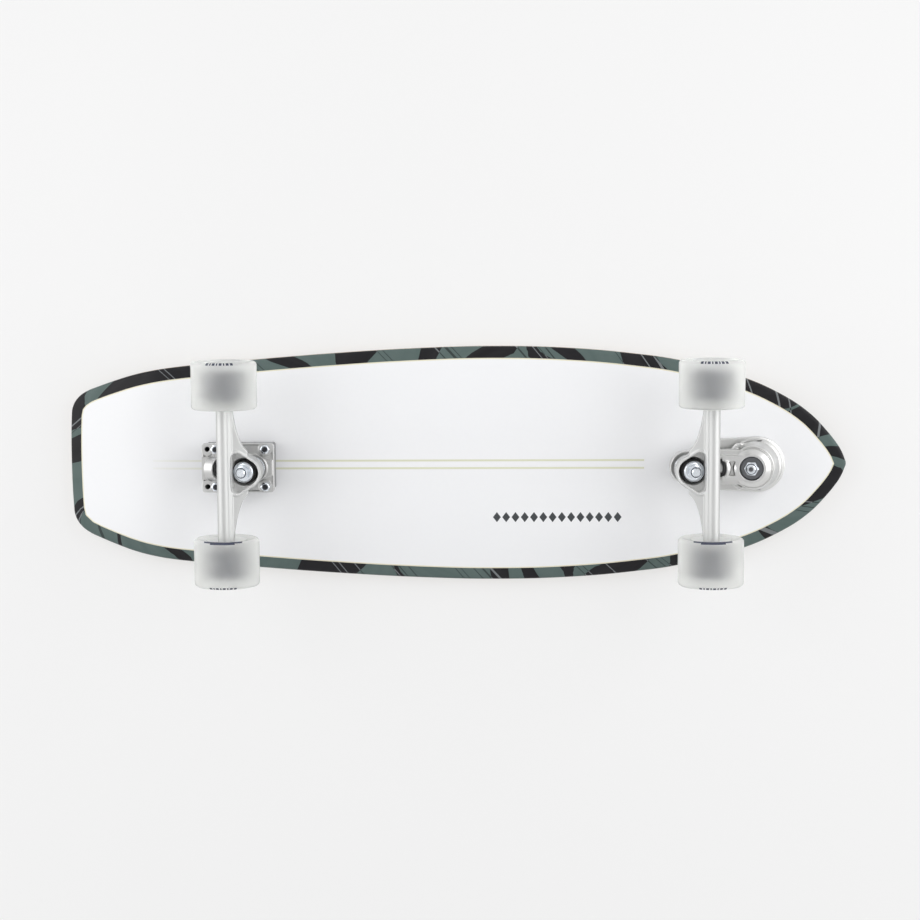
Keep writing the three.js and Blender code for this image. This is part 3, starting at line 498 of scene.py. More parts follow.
def deckMaterial(deck):
    tree, surface, place = startMaterial("deckPaintAndVeneer", (0.88, 0.88, 0.89), 0.32)
    calc, mix = tree.math, tree.mix
    split = tree.add("SeparateXYZ", {0: place}).outputs
    x, y = split["X"], split["Y"]
    rim, ply = [tree.add("Attribute", attribute_name=name).outputs["Fac"] for name in ("rimDistance", "ply")]
    white = uneven(tree, place, deck.white, *deck.lacquer)

    # the band round the rim: slanting blocks of charcoal and grey-green with groups of thin lines
    def alongBand(attribute, scale, detail, shift):
        flow = tree.add("Attribute", attribute_name=attribute).outputs["Vector"]
        move = tree.add("Mapping", {"Vector": flow, "Location": (shift, shift, 0)})
        return tree.noise(move.outputs[0], scale, detail)

    green = calc("GREATER_THAN", alongBand("bandFlow", deck.blockScale, 1.5, deck.blockShift), 0.5)
    group = calc("GREATER_THAN", alongBand("bandLines", deck.groupScale, 0, 3), deck.groupFrom)
    swing = calc("MULTIPLY", alongBand("bandLines", deck.veinScale, 0, 7), deck.veinCount)
    vein = calc("MULTIPLY", group, calc("LESS_THAN", calc("PINGPONG", swing, 0.5), deck.veinHalf))
    tint = alongBand("bandFlow", deck.tintScale, 2, 11)
    patchColor = mix(green, mix(tint, *deck.charcoal), mix(tint, *deck.greyGreen))
    bandColor = mix(calc("MULTIPLY", vein, deck.veinShow), patchColor, mix(green, deck.veinOnDark, deck.veinOnGreen))

    # two pinstripes along the middle, and a row of plain marks beside them
    def between(value, low, high):
        off = calc("ABSOLUTE", calc("SUBTRACT", value, (low + high) / 2 * mm))
        return calc("LESS_THAN", off, (high - low) / 2 * mm)

    onStripe = between(calc("ABSOLUTE", y), deck.stripe - deck.stripeHalf, deck.stripe + deck.stripeHalf)
    stripe = calc("MULTIPLY", onStripe, between(x, deck.stripeFrom, deck.stripeTo))
    stripe = calc("MULTIPLY", stripe, calc("MULTIPLY_ADD", x, *deck.fade, clamp=True))
    inner = mix(calc("MULTIPLY", stripe, deck.stripeShow), white["Color"], deck.stripeColor)
    cell = calc("PINGPONG", calc("SUBTRACT", x, (deck.markFrom + deck.markStep / 2) * mm), deck.markStep / 2 * mm)
    across = calc("MULTIPLY", calc("ABSOLUTE", calc("SUBTRACT", y, deck.markSide * mm)), deck.markSlope)
    lozenge = calc("LESS_THAN", calc("ADD", cell, across), deck.markHalf * deck.markSlope * mm)
    inner = mix(calc("MULTIPLY", lozenge, between(x, deck.markFrom, deck.markTo)), inner, deck.markColor)
    lined = mix(calc("LESS_THAN", rim, deck.band + deck.line), inner, deck.lineColor)
    onBand = calc("LESS_THAN", rim, deck.band)
    painted = mix(onBand, lined, bandColor)

    # maple plies on the edge and the top
    stretched = tree.add("Mapping", {"Vector": place, "Scale": deck.grainStretch})
    grain = tree.noise(stretched.outputs[0], 6, 5)
    plies = tree.add("ValToRGB", {"Fac": calc("DIVIDE", ply, deck.thickness)})
    plies.color_ramp.interpolation = "CONSTANT"
    steps = plies.color_ramp.elements
    steps.remove(steps[1])
    for i, (position, color) in enumerate(deck.plies):
        (steps.new(position) if i else steps[0]).color = (*color, 1)
    wood = tree.scaled(plies.outputs["Color"], calc("MULTIPLY_ADD", grain, 0.5, 0.75))

    isPaint = calc("LESS_THAN", ply, deck.edge)
    rough = calc("MULTIPLY_ADD", isPaint, deck.paintRough - deck.woodRough, deck.woodRough)
    tree.give(surface, {
        "Base Color": mix(isPaint, wood, painted),
        "Specular IOR Level": calc("MULTIPLY_ADD", calc("MULTIPLY", onBand, isPaint), deck.bandGloss - 0.5, 0.5),
        "Roughness": calc("MULTIPLY_ADD", white["Height"], 0.06, rough),
    })
    tree.bump(surface, 0.06, 0.02, grain)


def gripMaterial(deck):
    tree, surface, place = startMaterial("gripGrit", (0.02, 0.02, 0.021), 0.85)
    grit = tree.add("TexVoronoi", {"Vector": place, "Scale": deck.gritScale}).outputs
    sparkle = tree.math("GREATER_THAN", grit["Color"], deck.gritFrom)
    shade = tree.mix(tree.noise(place, 9, 6), *deck.gripShades)
    tree.give(surface, {
        "Base Color": tree.mix(tree.math("MULTIPLY", sparkle, 0.6), shade, deck.gritColor),
        "Roughness": tree.math("MULTIPLY_ADD", sparkle, -0.4, 0.9),
    })
    tree.bump(surface, 0.8, 0.25, grit["Distance"])


def makeDeck(deck):
    rail = railCurve(deck)
    wall = wallAround(rail)
    deckMaterial(deck)
    gripMaterial(deck)
    top = deck.thickness
    board = deckSheet(deck, rail, wall, 0, top, deck.edge)
    finish(board, "painted_deck", "board", "deck_wood", ["deckPaintAndVeneer"], angle=40, replaced=["deck"])
    grip = deckSheet(deck, rail, wall, top + deck.gripLow, top + deck.gripHigh, 0, deck.gripInset)
    finish(grip, "grip_sheet", "board", "grip", ["gripGrit"], angle=40, replaced=["grip_tape"])
    bpy.data.meshes.remove(rail)


makeDeck(Values(deckValues))
print("deck and grip made")


# places shared by both trucks: the axle is the origin, +X points inboard and +Z to the deck

truckValues = {
    "rearAxle": -239.2, "frontAxle": 277.7, "axleHeight": 35,
    "ringCentre": (20, 0, 31), "steer": 9, "pivotCentre": (-15, 0, 46), "pivotReach": 38.08, "ring": 4,
    "seatReach": 19.2, "seatRise": 49.96, "deckRise": 85.16, "swivelOffset": 56.3, "swivelRake": 11.9,
    "seatRoom": 13.6, "pinHole": 5.1, "headFloor": 24.2, "headRoom": 8.4, "rowHalf": 20.65, "hole": 2.8,
    "cupRadius": 8.7, "bossRadius": 12.3, "socketMouth": 37.88, "socketEnd": 48.8,
    "collar": 9.8, "collarLow": 35.9, "collarHigh": 37.8,
}
truck = Values(truckValues)


def truckPlace(end):
    if end == "rear":
        return Matrix.Translation((truck.rearAxle, 0, truck.axleHeight))
    return Matrix.Translation((truck.frontAxle, 0, truck.axleHeight)) @ turned(math.pi, "Z")


def outward(end, sign):  # +Z points away from the board along the axle
    return Matrix.Translation(truckPlace(end).translation) @ turned(-sign * math.pi / 2, "X")


steer, rake = math.radians(truck.steer), math.radians(truck.swivelRake)
kingpinPlace = lay(truck.ringCentre, (math.sin(steer), 0, math.cos(steer)))
steerPlace = lay(truck.ringCentre, Vector(truck.pivotCentre) - Vector(truck.ringCentre))
swivelPlace = Matrix((
    (math.cos(rake), 0, math.sin(rake), -truck.swivelOffset), (0, -1, 0, 0),
    (math.sin(rake), 0, -math.cos(rake), truck.deckRise), (0, 0, 0, 1),
))
alongAxle = turned(math.pi / 2, "X")
flipped = turned(math.pi, "X")
bothSides = (("left", 1), ("right", -1))


# metals, rubbers and plastics: colour, roughness, metallic, cloud and grain scales, tone, spread, bump and its depth

finishValues = {
    "satinCasting": ((0.60, 0.605, 0.6), 0.52, 0.97, 26, 1300, 0.07, 0.14, 0.16, 0.03),
    "tumbledCasting": ((0.68, 0.68, 0.672), 0.34, 0.97, 24, 1200, 0.08, 0.16, 0.16, 0.03),
    # pale matt finish for the hanger's hollow: painted light lifting the shade there
    "hollowPaintedLight": ((0.82, 0.82, 0.81), 0.7, 0.0, 40, 900, 0.1, 0.1, 0.2, 0.04),
    "polishedCasting": ((0.60, 0.60, 0.595), 0.4, 1.0, 60, 900, 0.12, 0.16, 0.2, 0.03),
    "brightZinc": ((0.80, 0.84, 0.89), 0.17, 1.0, 90, 2600, 0.08, 0.12, 0.06, 0.01),
    # darker zinc: the swivel washer's colour, and painted shade inside the swivel pin's socket
    "darkZincAndSocketShade": ((0.16, 0.165, 0.175), 0.34, 1.0, 90, 2200, 0.12, 0.14, 0.08, 0.01),
    "blackSteel": ((0.035, 0.036, 0.04), 0.35, 0.6, 90, 2200, 0.15, 0.14, 0.08, 0.01),
    "springSteel": ((0.52, 0.53, 0.55), 0.28, 1.0, 60, 1800, 0.12, 0.12, 0.08, 0.01),
    "bearingSteel": ((0.66, 0.67, 0.69), 0.2, 1.0, 90, 2600, 0.06, 0.1, 0.05, 0.01),
    "bearingShield": ((0.05, 0.055, 0.065), 0.45, 0.0, 120, 2600, 0.15, 0.1, 0.05, 0.01),
    "blackRubber": ((0.012, 0.012, 0.013), 0.42, 0.0, 120, 3200, 0.2, 0.12, 0.15, 0.02),
    "riserPlastic": ((0.21, 0.215, 0.22), 0.46, 0.0, 40, 2400, 0.1, 0.1, 0.25, 0.03),
    "coreNylon": ((0.035, 0.043, 0.085), 0.5, 0.0, 60, 2200, 0.12, 0.1, 0.1, 0.02),
    "nutNylon": ((0.16, 0.18, 0.22), 0.4, 0.0, 200, 3000, 0.1, 0.1, 0.05, 0.01),
    # dark blue print, also used for the wheels' painted reflection arc on the inner lip
    "printAndPaintedReflection": ((0.045, 0.052, 0.088), 0.4, 0.0, 300, 4000, 0.35, 0.1),
    "milkyUrethane": ((0.925, 0.93, 0.915), 0.8, 0.0, 35, 1600, 0.02, 0.1, 0.1, 0.02),
}
for name, values in finishValues.items():
    plainFinish(name, *values)

# the urethane is clear enough to show the core as a blurred shade
urethane = bpy.data.materials["milkyUrethane"].node_tree.nodes["Principled BSDF"].inputs
urethane["Transmission Weight"].default_value = 0.88
urethane["IOR"].default_value = 1.46
print("finishes made")


# small turned and cut shapes

def threaded(radius, depth, pitch, low, high):  # profile corners up a screw thread
    corners = []
    height = low
    while height + pitch <= high:
        corners += [[radius, height], [radius - depth, height + pitch / 2]]
        height += pitch
    return corners + [[radius, high]]


def nutBody(width, height, bore):  # a chamfered hexagon
    half, corner = width / 2, width / math.sqrt(3)
    chamfer = (corner - half) * 0.6
    corner += 0.1
    trim = spun([[0, 0], [half, 0], [corner, chamfer], [corner, height - chamfer], [half, height], [0, height]], 48)
    return carve(raised(hexagon(width), 0, height), within=[trim], cuts=[peg(bore, -1, height + 1, 32)])


def lockNut(width, height, bore, place):  # with a round collar and a nylon ring
    outer, top = width / 2 * 0.93, height * 0.72
    ring = spun([
        [bore, top - 0.2], [outer, top - 0.2], [outer, height - 0.4], [width / 2 * 0.8, height], [bore + 0.9, height],
        [bore + 0.9, height - 0.5], [bore, height - 0.5],
    ], 48, {3: 0.3})
    paint(ring, 1, lambda spot: spot.xy.length < bore + 0.95 and spot.z > height - 0.7)
    return together(nutBody(width, top, bore), ring, place=place)


# wheels: a urethane tyre cast round a ribbed core, with two shielded bearings

wheelValues = {
    "radius": 34.95, "half": 25.45, "lip": 3.9, "offset": 94.8, "sides": 144,
    "opening": 21.6, "coreRoom": 21.25, "coreRoomHalf": 16.3, "coreStep": 19.75,
    "coreRadius": 20.95, "coreHalf": 15.95, "rimInner": 18.9, "floor": 9.6, "hub": 13.6, "hubEnd": 11.95,
    "seat": 11.3, "rib": 9.6, "ribHalf": 4.7, "spokes": 10, "spokeHalf": 0.8, "spokeTop": 14.4,
    "bearing": 11, "bearingBore": 4.3, "bearingHalf": 3.5, "bearingMiddle": 8.5,
    "shield": (6.3, 9.3), "shieldDeep": 0.45,
    "dishFrom": 29.8, "dishTo": 24.8, "dish": 1.5, "printFrom": 31.2, "printDeep": 2.2, "arc": 39,
    "marks": [[-26, -19], [-17, -14], [-12.6, -7], [-5.5, -2.4], [-0.1, 5.1], [7.4, 10.1], [12.4, 17.6], [19.9, 26]],
    "axleReach": 115.5, "axleRadius": 4, "thread": (0.35, 1.0), "threadFrom": 98,
    "nutWidth": 12.9, "nutHeight": 6.5, "nutStart": 107.1,
}


def makeWheel(wheel, end, side, sign):
    start = end + "_" + side + "_"
    body = start + "wheel_set"
    place = outward(end, sign) @ upBy(wheel.offset)
    half, lip, dished = wheel.half, wheel.lip, wheel.half - wheel.dish
    tyre = spun(mirrored([
        [wheel.radius, half], [wheel.dishFrom, half], [wheel.dishTo, dished], [wheel.opening, dished],
        [wheel.coreStep, wheel.coreRoomHalf], [wheel.coreRoom, wheel.coreRoomHalf],
    ]), wheel.sides, {0: lip, 11: lip, 3: 0.9, 8: 0.9})

    def printAndReflectionFaces(spot):  # printed dashes on the outer lip; on the inner lip one tapering dark arc, a painted reflection of the dark core
        deep = (half - abs(spot.z)) / wheel.printDeep
        if deep > 1 or spot.xy.length < wheel.printFrom:
            return False
        # the inner lip's tapering arc is a painted reflection of the dark core, not print
        if spot.z < 0:
            return math.hypot(math.degrees(math.atan2(spot.x, spot.y)) / wheel.arc, deep) < 1
        angle = math.degrees(math.atan2(spot.x, sign * spot.y))
        return any(low < offset < high for offset in (angle, angle - 180, angle + 180) for low, high in wheel.marks)

    paint(tyre, 1, printAndReflectionFaces)
    finish(tyre, start + "tyre", body, "urethane", ["milkyUrethane", "printAndPaintedReflection"], place, replaced=[start + "wheel"])

    core = spun(mirrored([
        [wheel.coreRadius, wheel.coreHalf], [wheel.rimInner, wheel.coreHalf], [wheel.rimInner - 0.5, wheel.floor],
        [wheel.hub + 0.4, wheel.floor], [wheel.hub, wheel.hubEnd], [wheel.seat, wheel.hubEnd],
        [wheel.seat, wheel.ribHalf], [wheel.rib, wheel.ribHalf],
    ]), 96, {0: 0.5, 15: 0.5, 1: 0.4, 14: 0.4, 4: 0.4, 11: 0.4})
    spokes = []
    for i in range(wheel.spokes):
        for face in (1, -1):
            low, high = sorted((face * (wheel.floor - 0.3), face * wheel.spokeTop))
            spokes.append(block(
                (wheel.hub - 0.2, -wheel.spokeHalf, low), (wheel.rimInner + 0.2, wheel.spokeHalf, high),
                turned(2 * math.pi * i / wheel.spokes, "Z"),
            ))
    finish(together(core, *spokes), start + "core", body, "hub", ["coreNylon"], place, replaced=[start + "wheel_core"])

    rise, (shieldIn, shieldOut) = wheel.bearingHalf, wheel.shield
    sunk = rise - wheel.shieldDeep
    for name, direction in (("outer", 1), ("inner", -1)):
        bearing = spun(mirrored([
            [wheel.bearing, rise], [shieldOut + 0.15, rise], [shieldOut, sunk], [shieldIn, sunk],
            [shieldIn - 0.2, rise], [wheel.bearingBore, rise],
        ]), 72, {0: 0.4, 11: 0.4, 5: 0.3, 6: 0.3})
        paint(bearing, 1, lambda spot: (
            shieldIn - 0.1 < spot.xy.length < shieldOut + 0.1 and abs(abs(spot.z) - sunk) < 0.05))
        finish(bearing, start + name + "_bearing_rings", body, "bearing", ["bearingSteel", "bearingShield"],
               place @ upBy(direction * wheel.bearingMiddle), replaced=[start + name + "_bearing"])


def makeAxle(wheel, end):
    body = end + "_steering_hanger"
    reach, radius = wheel.axleReach, wheel.axleRadius
    thread = threaded(radius, *wheel.thread, wheel.threadFrom, reach - 0.8)
    axle = spun(mirrored([[radius, wheel.threadFrom - 2], *thread, [radius - 0.8, reach], [0, reach]]), 48)
    finish(axle, end + "_threaded_axle", body, "zinc", ["brightZinc"], truckPlace(end) @ alongAxle,
           replaced=[end + "_axle"])
    for side, sign in bothSides:
        nut = lockNut(wheel.nutWidth, wheel.nutHeight, radius + 0.1, upBy(wheel.nutStart))
        finish(nut, end + "_" + side + "_lock_nut", body, "zinc", ["brightZinc", "nutNylon"], outward(end, sign),
               replaced=[end + "_" + side + "_axle_nut"])


wheel = Values(wheelValues)
for end in ("rear", "front"):
    for side, sign in bothSides:
        makeWheel(wheel, end, side, sign)
    makeAxle(wheel, end)
print("wheels and axles made")


# hangers, cast in one piece each

hangerValues = {
    "half": 82.5, "ridge": [-2.4, 0, 6.85], "arm": [2.9, 2.2, 5.0],
    "web": [[0.97, 0.19], [0.82, 0.21], [0.67, 0.26], [0.57, 0.3], [0.45, 0.38], [0.36, 0.46], [0.28, 0.6]],
    "reach": 38.4, "webLow": -1.5, "webHigh": 5.5, "slope": 0.25,
    "corner": [-5.9, 16.5, 6], "apex": [3.8, 0, 14.6], "wall": 3, "rim": 24, "topShare": 0.8, "hollowTop": 0.97,
    "lip": 1.2, "skirt": 8, "seat": 16.2, "bushingRoom": 13.7, "bushingMouth": 15.4, "bushingDepth": 13.4, "bore": 8.2,
    "mouthMiddle": 18, "mouth": [[2, 0, 15.2], [-6.2, 16.6, 6.2], [-3.9, 0, 9.3], [-6.2, -16.6, 6.2]],
    "mouthLow": -7.5, "mouthHigh": 8.5, "mouthShare": 0.94, "hollowHigh": -13,
    "insideWalls": [-31.5, -3], "insideCeiling": [-21, -8], "insideReach": 26,
    "rimWide": 1.7, "rimProud": 0.8, "rimDeep": 2, "nose": 11, "ball": 5.55, "axleBore": 4.3,
    "ribHalf": 4.5, "rib": [[-5.5, 0], [10, 0], [10, 31], [0, 36.5], [-5, 36.5]],
    "grain": 0.55, "soften": 3, "keep": 0.5,
}


def hangerMesh(hanger):
    half, ring, rim, room, ball = hanger.half, truck.ring, hanger.rim, hanger.bushingRoom, hanger.ball
    bar, arm = [peg(radius, -half, half, 64, alongAxle @ Matrix.Translation((x, y, 0)), {1: 0.8, 2: 0.8})
                for x, y, radius in (hanger.ridge, hanger.arm)]
    edge = smoothLine([(inShare * hanger.reach, across * half) for across, inShare in hanger.web], 6)
    plan = [(0, edge[0][1]), (0, -edge[0][1])] + [(x, -y) for x, y in edge] + list(reversed(edge))
    shear = Matrix.Identity(4)
    shear[2][0] = hanger.slope
    web = raised(plan, hanger.webLow, hanger.webHigh, shear)

    def bowlOutline(wall):
        x, y, corner = hanger.corner
        apexX, apexY, apex = hanger.apex
        return wrapped([[apexX, apexY, apex + wall], [x, y, corner + wall], [x, -y, corner + wall]], 12)

    bowl = raised(bowlOutline(hanger.wall), -rim, ring / 2, kingpinPlace, hanger.topShare)
    hollow = raised(bowlOutline(0), -rim - 1.2, hanger.hollowHigh, kingpinPlace, hanger.hollowTop)
    seat = peg(hanger.seat, -hanger.skirt, ring + hanger.lip, 96, kingpinPlace)
    reach = truck.pivotReach
    root, waist = reach * 0.35, reach * 0.56
    ballSteps = [[math.cos(math.radians(angle)) * ball, reach + math.sin(math.radians(angle)) * ball]
                 for angle in (-48, -30, -10, 10, 30, 50, 70)]
    nose = spun([
        [0, root], [hanger.nose, root], [hanger.nose * 0.8, waist], [ball * 0.85, reach - ball * 1.6],
        *ballSteps, [0, reach + ball],
    ], 48, place=steerPlace)
    rib = raised(hanger.rib, -hanger.ribHalf, hanger.ribHalf, alongAxle)
    middle = Matrix.Translation((hanger.mouthMiddle, 0, 0))
    mouth = raised(wrapped(hanger.mouth, 12), hanger.mouthLow, hanger.mouthHigh, middle, hanger.mouthShare)
    wide = [[x, y, corner + hanger.rimWide] for x, y, corner in hanger.mouth]
    lift = hanger.webLow - hanger.rimProud
    bead = raised(wrapped(wide, 12), lift, lift + hanger.rimDeep, shear @ middle, 0.97)
    dip = spun([[0, -hanger.bushingDepth], [hanger.bushingMouth, -hanger.bushingDepth], [room, -ring], [0, -ring]],
               64, place=kingpinPlace)
    casting = carve(bar, joins=[arm, web, bowl, bead, seat, nose, rib], cuts=[
        hollow, mouth, dip, peg(room, ring, 30, 64, kingpinPlace), peg(hanger.bore, -30, 30, 48, kingpinPlace),
        peg(hanger.axleBore, -half - 30, half + 30, 32, alongAxle),
    ], soft=hanger)

    toPin = kingpinPlace.inverted()
    (wallLow, wallHigh), (ceilingLow, ceilingHigh) = hanger.insideWalls, hanger.insideCeiling
    for face in casting.faces:  # the hollow's walls and ceiling get a pale matt finish: painted light that lifts the shade inside the hollow
        spot = toPin @ face.calc_center_median()
        facing = toPin.to_3x3() @ face.normal
        inward = facing.xy.dot(spot.xy) < -0.3 * spot.xy.length
        ceiling = facing.z < -0.6 and ceilingLow < spot.z < ceilingHigh
        if spot.xy.length < hanger.insideReach and (ceiling or inward and wallLow < spot.z < wallHigh):
            face.material_index = 1
    return casting


hanger = hangerMesh(Values(hangerValues))
for end in ("rear", "front"):
    finish(hanger.copy(), end + "_hanger_casting", end + "_steering_hanger", "casting",
           ["satinCasting", "hollowPaintedLight"], truckPlace(end), angle=60, replaced=[end + "_hanger"])
hanger.free()
print("hangers made")


# kingpins with their bushings and washers, and the pivot cups

kingpinValues = {
    "radius": 4.8, "bore": 5.1, "neckIn": 3, "neck": 7.7, "foot": 4.3, "bushing": 13.2, "waist": 13.0, "length": 13,
    "taper": 1.2, "easedBore": 6.7,
    "cup": 17.6, "cupEdge": 11.2, "cupThick": 2, "flatLow": 17.6, "flatHigh": 18.9, "flatRadius": 13,
    "nut": 19.9, "nutWidth": 13.9, "nutHeight": 6.6, "nutTurn": 0.35, "tip": 29, "thread": (0.35, 1.25),
    "head": 24.5, "headHigh": 29.1, "headWidth": 13.9, "headBore": 2.4,
    "pivotBore": 5.9, "pivotFloor": 43.98, "pivotEnd": 45.18,
}


def bushingShape(pin):  # its bore is eased, so it can lean with the hanger
    foot, root, bore, end = pin.foot, truck.ring - pin.neckIn, pin.easedBore, pin.foot + pin.length
    return spun([
        [bore, root], [pin.neck, root], [pin.neck, foot], [pin.bushing, foot], [pin.waist, end - 3 * pin.taper],
        [pin.waist - pin.taper, end], [bore, end],
    ], 96, {1: 0.5, 3: 0.8, 4: 1.5, 5: 0.7})


def makeKingpin(pin, end, body):
    place = truckPlace(end) @ kingpinPlace

    tip, radius, bore, top = pin.tip, pin.radius, pin.bore, pin.head + 1
    down = [[r, -z] for r, z in reversed(threaded(radius, *pin.thread, pin.nut - 2, tip - 1))]
    shank = spun([[0, -tip], [radius - 1, -tip], *down, [radius, top], [0, top]], 48)
    bolt = together(shank, moved(nutBody(pin.headWidth, pin.headHigh - pin.head, pin.headBore), upBy(pin.head)))
    nut = lockNut(pin.nutWidth, pin.nutHeight, radius + 0.1, upBy(-pin.nut) @ flipped @ turned(pin.nutTurn, "Z"))
    low, edge = -pin.cup, pin.cupEdge
    cup = spun([
        [bore, low - pin.cupThick], [edge - 2.2, low - pin.cupThick], [edge, low - 0.5], [edge, low], [edge - 0.9, low],
        [edge - 2.4, low - 1.0], [bore, low - 1.0],
    ], 96, {1: 1.2, 2: 0.4, 3: 0.2})
    washer = peg(pin.flatRadius, pin.flatLow, pin.flatHigh, 96, None, {1: 0.35, 2: 0.35}, bore)
    for shape, name, materials, replaced in (
        (bolt, "_kingpin_bolt", ["brightZinc"], "_kingpin"),
        (nut, "_kingpin_lock_nut", ["brightZinc", "nutNylon"], "_kingpin_nut"),
        (cup, "_dished_washer", ["brightZinc"], "_cup_washer"),
        (washer, "_seat_washer", ["brightZinc"], "_flat_washer"),
    ):
        finish(shape, end + name, body, "zinc", materials, place, replaced=[end + replaced])
    for name, direction in (("_road", -1), ("_deck", 1)):
        shape = moved(bushingShape(pin), flipped if direction < 0 else None)
        rubber = finish(shape, end + name + "_rubber", None, "bushing", ["blackRubber"], place,
                        replaced=[end + name + "_bushing"])
        clamped, leaning = [
            place @ Vector((0, 0, direction * height)) * mm for height in (pin.foot + pin.length, pin.foot)
        ]
        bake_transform(rubber)
        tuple(clamped)
        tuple(leaning)

    low, high, collar, cup = truck.collarLow, truck.collarHigh, truck.collar, truck.cupRadius
    bush = spun([
        [0, pin.pivotFloor], [pin.pivotBore, pin.pivotFloor], [pin.pivotBore, low + 0.8], [pin.pivotBore + 0.8, low],
        [collar, low], [collar, high], [cup, high], [cup, pin.pivotEnd], [0, pin.pivotEnd],
    ], 64, {4: 0.5, 5: 0.3, 7: 0.8})
    finish(bush, end + "_pivot_bush", body, "bushing", ["blackRubber"], truckPlace(end) @ steerPlace,
           replaced=[end + "_pivot_cup"])


makeKingpin(Values(kingpinValues), "rear", "board")
makeKingpin(Values(kingpinValues), "front", "front_swing_arm")
print("kingpins made")


# what both trucks share: bolt holes, seat cuts and the pivot's socket

def holePegs(rows, low, high, radius=truck.hole):
    return [peg(radius, low, high, 32, Matrix.Translation((x, sign * truck.rowHalf, 0)))
            for x in rows for sign in (1, -1)]


def seatCuts():  # room for the kingpin, its washer and head, and the pivot cup
    return [
        peg(truck.seatRoom, 0, truck.seatReach, 64, kingpinPlace),
        peg(truck.pinHole, 0, 60, 48, kingpinPlace),
        peg(truck.headRoom, truck.headFloor, 60, 48, kingpinPlace),
        peg(truck.cupRadius + 0.3, 0, 45.5, 64, steerPlace),
        peg(truck.collar + 0.5, truck.collarLow - 5, truck.collarHigh + 0.1, 64, steerPlace),
    ]


def seatBosses(radius):  # round the kingpin's seat and the pivot cup
    return [
        peg(radius, truck.seatReach, truck.headFloor, 96, kingpinPlace),
        peg(truck.bossRadius, truck.socketMouth, truck.socketEnd, 96, steerPlace, {1: 0.9}),
    ]


# rear baseplate and riser

plateValues = {
    "near": -33.6, "far": 45.4, "half": 27, "corner": 4, "flange": 53.66, "back": 61.16,
    "recess": 1.7, "rim": 1.8, "pad": 7.4, "rows": [-18.1, 35.9, -27.5],
    "spine": [
        [-33.3, -12.3], [-21, -12.3], [20, -13.5], [43.4, -8.5], [43.4, 8.5], [20, 13.5], [-21, 12.3], [-33.3, 12.3],
    ],
    "boss": 15.5, "riserInset": 1.6, "riserLow": 61.46, "riserHigh": 84.86,
    "grain": 0.42, "soften": 2, "keep": 0.5,
}


def plateOutline(plate, inset=0):
    near, far, half = plate.near + plate.corner, plate.far - plate.corner, plate.half - plate.corner
    corners = ((near, -half), (far, -half), (far, half), (near, half))
    return wrapped([[x, y, plate.corner - inset] for x, y in corners], 8)


def makeBaseplate(plate):
    flange, back = plate.flange, plate.back
    tray = carve(
        raised(plateOutline(plate), flange, back, edge=0.8),
        cuts=[raised(plateOutline(plate, plate.rim), flange - 5, flange + plate.recess)],
    )
    spine = raised(plate.spine, truck.seatRise, back)
    whole = carve(
        tray, joins=[spine, *seatBosses(plate.boss), *holePegs(plate.rows, flange, back - 0.5, plate.pad)],
        within=[block((plate.near, -plate.half, 30), (plate.far, plate.half, back))],
        cuts=seatCuts() + holePegs(plate.rows, 30, 90), soft=plate,
    )
    finish(whole, "rear_plate_casting", "board", "casting", ["polishedCasting"], truckPlace("rear"), angle=60,
           replaced=["rear_baseplate"])
    riser = carve(
        raised(plateOutline(plate, plate.riserInset), plate.riserLow, plate.riserHigh, edge=0.6),
        cuts=holePegs(plate.rows, 30, 120),
    )
    finish(riser, "rear_riser_block", "board", "riser", ["riserPlastic"], truckPlace("rear"), replaced=["rear_riser"])


makeBaseplate(Values(plateValues))
print("rear baseplate and riser made")


# front base, swinging arm, return spring and swivel bolt

armValues = {
    "top": 84.86, "face": 78.16, "endRadius": 30.5, "inboard": -0.3, "half": 24.3, "corner": 3,
    "turret": 13.5, "turretRadius": 28.6, "boltRoom": 9.3, "boltFloor": 7.8, "shankRoom": 5.3,
    "rows": [-59.3, -5.3], "pocket": 6.4,
    "skirt": 14, "land": 48.5, "recess": 43.7, "roof": 38, "hub": 19.1,
    "sleeve": 12, "springRoom": 19.3, "bore": 5.3, "recessRadius": 12.9,
    "head": [[28.5, 14], [28.5, 16.4], [26.6, 16.9], [26.6, 18.6], [25.2, 22.4], [24.2, 27.4], [23.9, 33], [23.4, 37.4],
             [22.4, 38.3], [21.3, 37.2], [20.7, 38.4], [20.7, 43.6], [15.6, 48.5]],
    "wing": [[0, -25], [19.6, -25], [30, -13.5], [30, 13.5], [19.6, 25], [0, 25]], "wingLow": 14.5, "wingHigh": 26,
    "ridge": [[13.2, 24.4], [29.6, 14.4]], "ridgeHalf": 1.7, "ridgeHigh": 29.5,
    "seatOffset": 23.0, "seatRadius": 17.5, "seatBack": 67.96, "lowSwivel": -46.57,
    "neckHalf": 13.5, "neckRise": 39, "neckEnd": -15,
    "pocketMiddle": -25.57, "pocketHalf": 3.5, "pocketWaist": 1.9, "pocketWide": 7.8, "waistWide": 2.4, "pocketTop": 45,
    "springMiddle": 15.65, "springWire": 1.4, "springTurns": 4.5, "springLow": 15.2, "springHigh": 36.3,
    "washer": 12.2, "nutWidth": 13.9, "nutHeight": 6.7, "nutStart": 46, "boltTip": 55.3, "boltRadius": 5,
    "thread": (0.4, 1.25), "socket": 2.5, "headLow": 3, "headHigh": 7.5, "headRadius": 9,
    "raceLow": 13.8, "raceHigh": 18.8, "raceRadius": 12.2, "raceGap": 0.7, "raceThick": 1.9,
    "grain": 0.5, "soften": 2, "keep": 0.5,
}


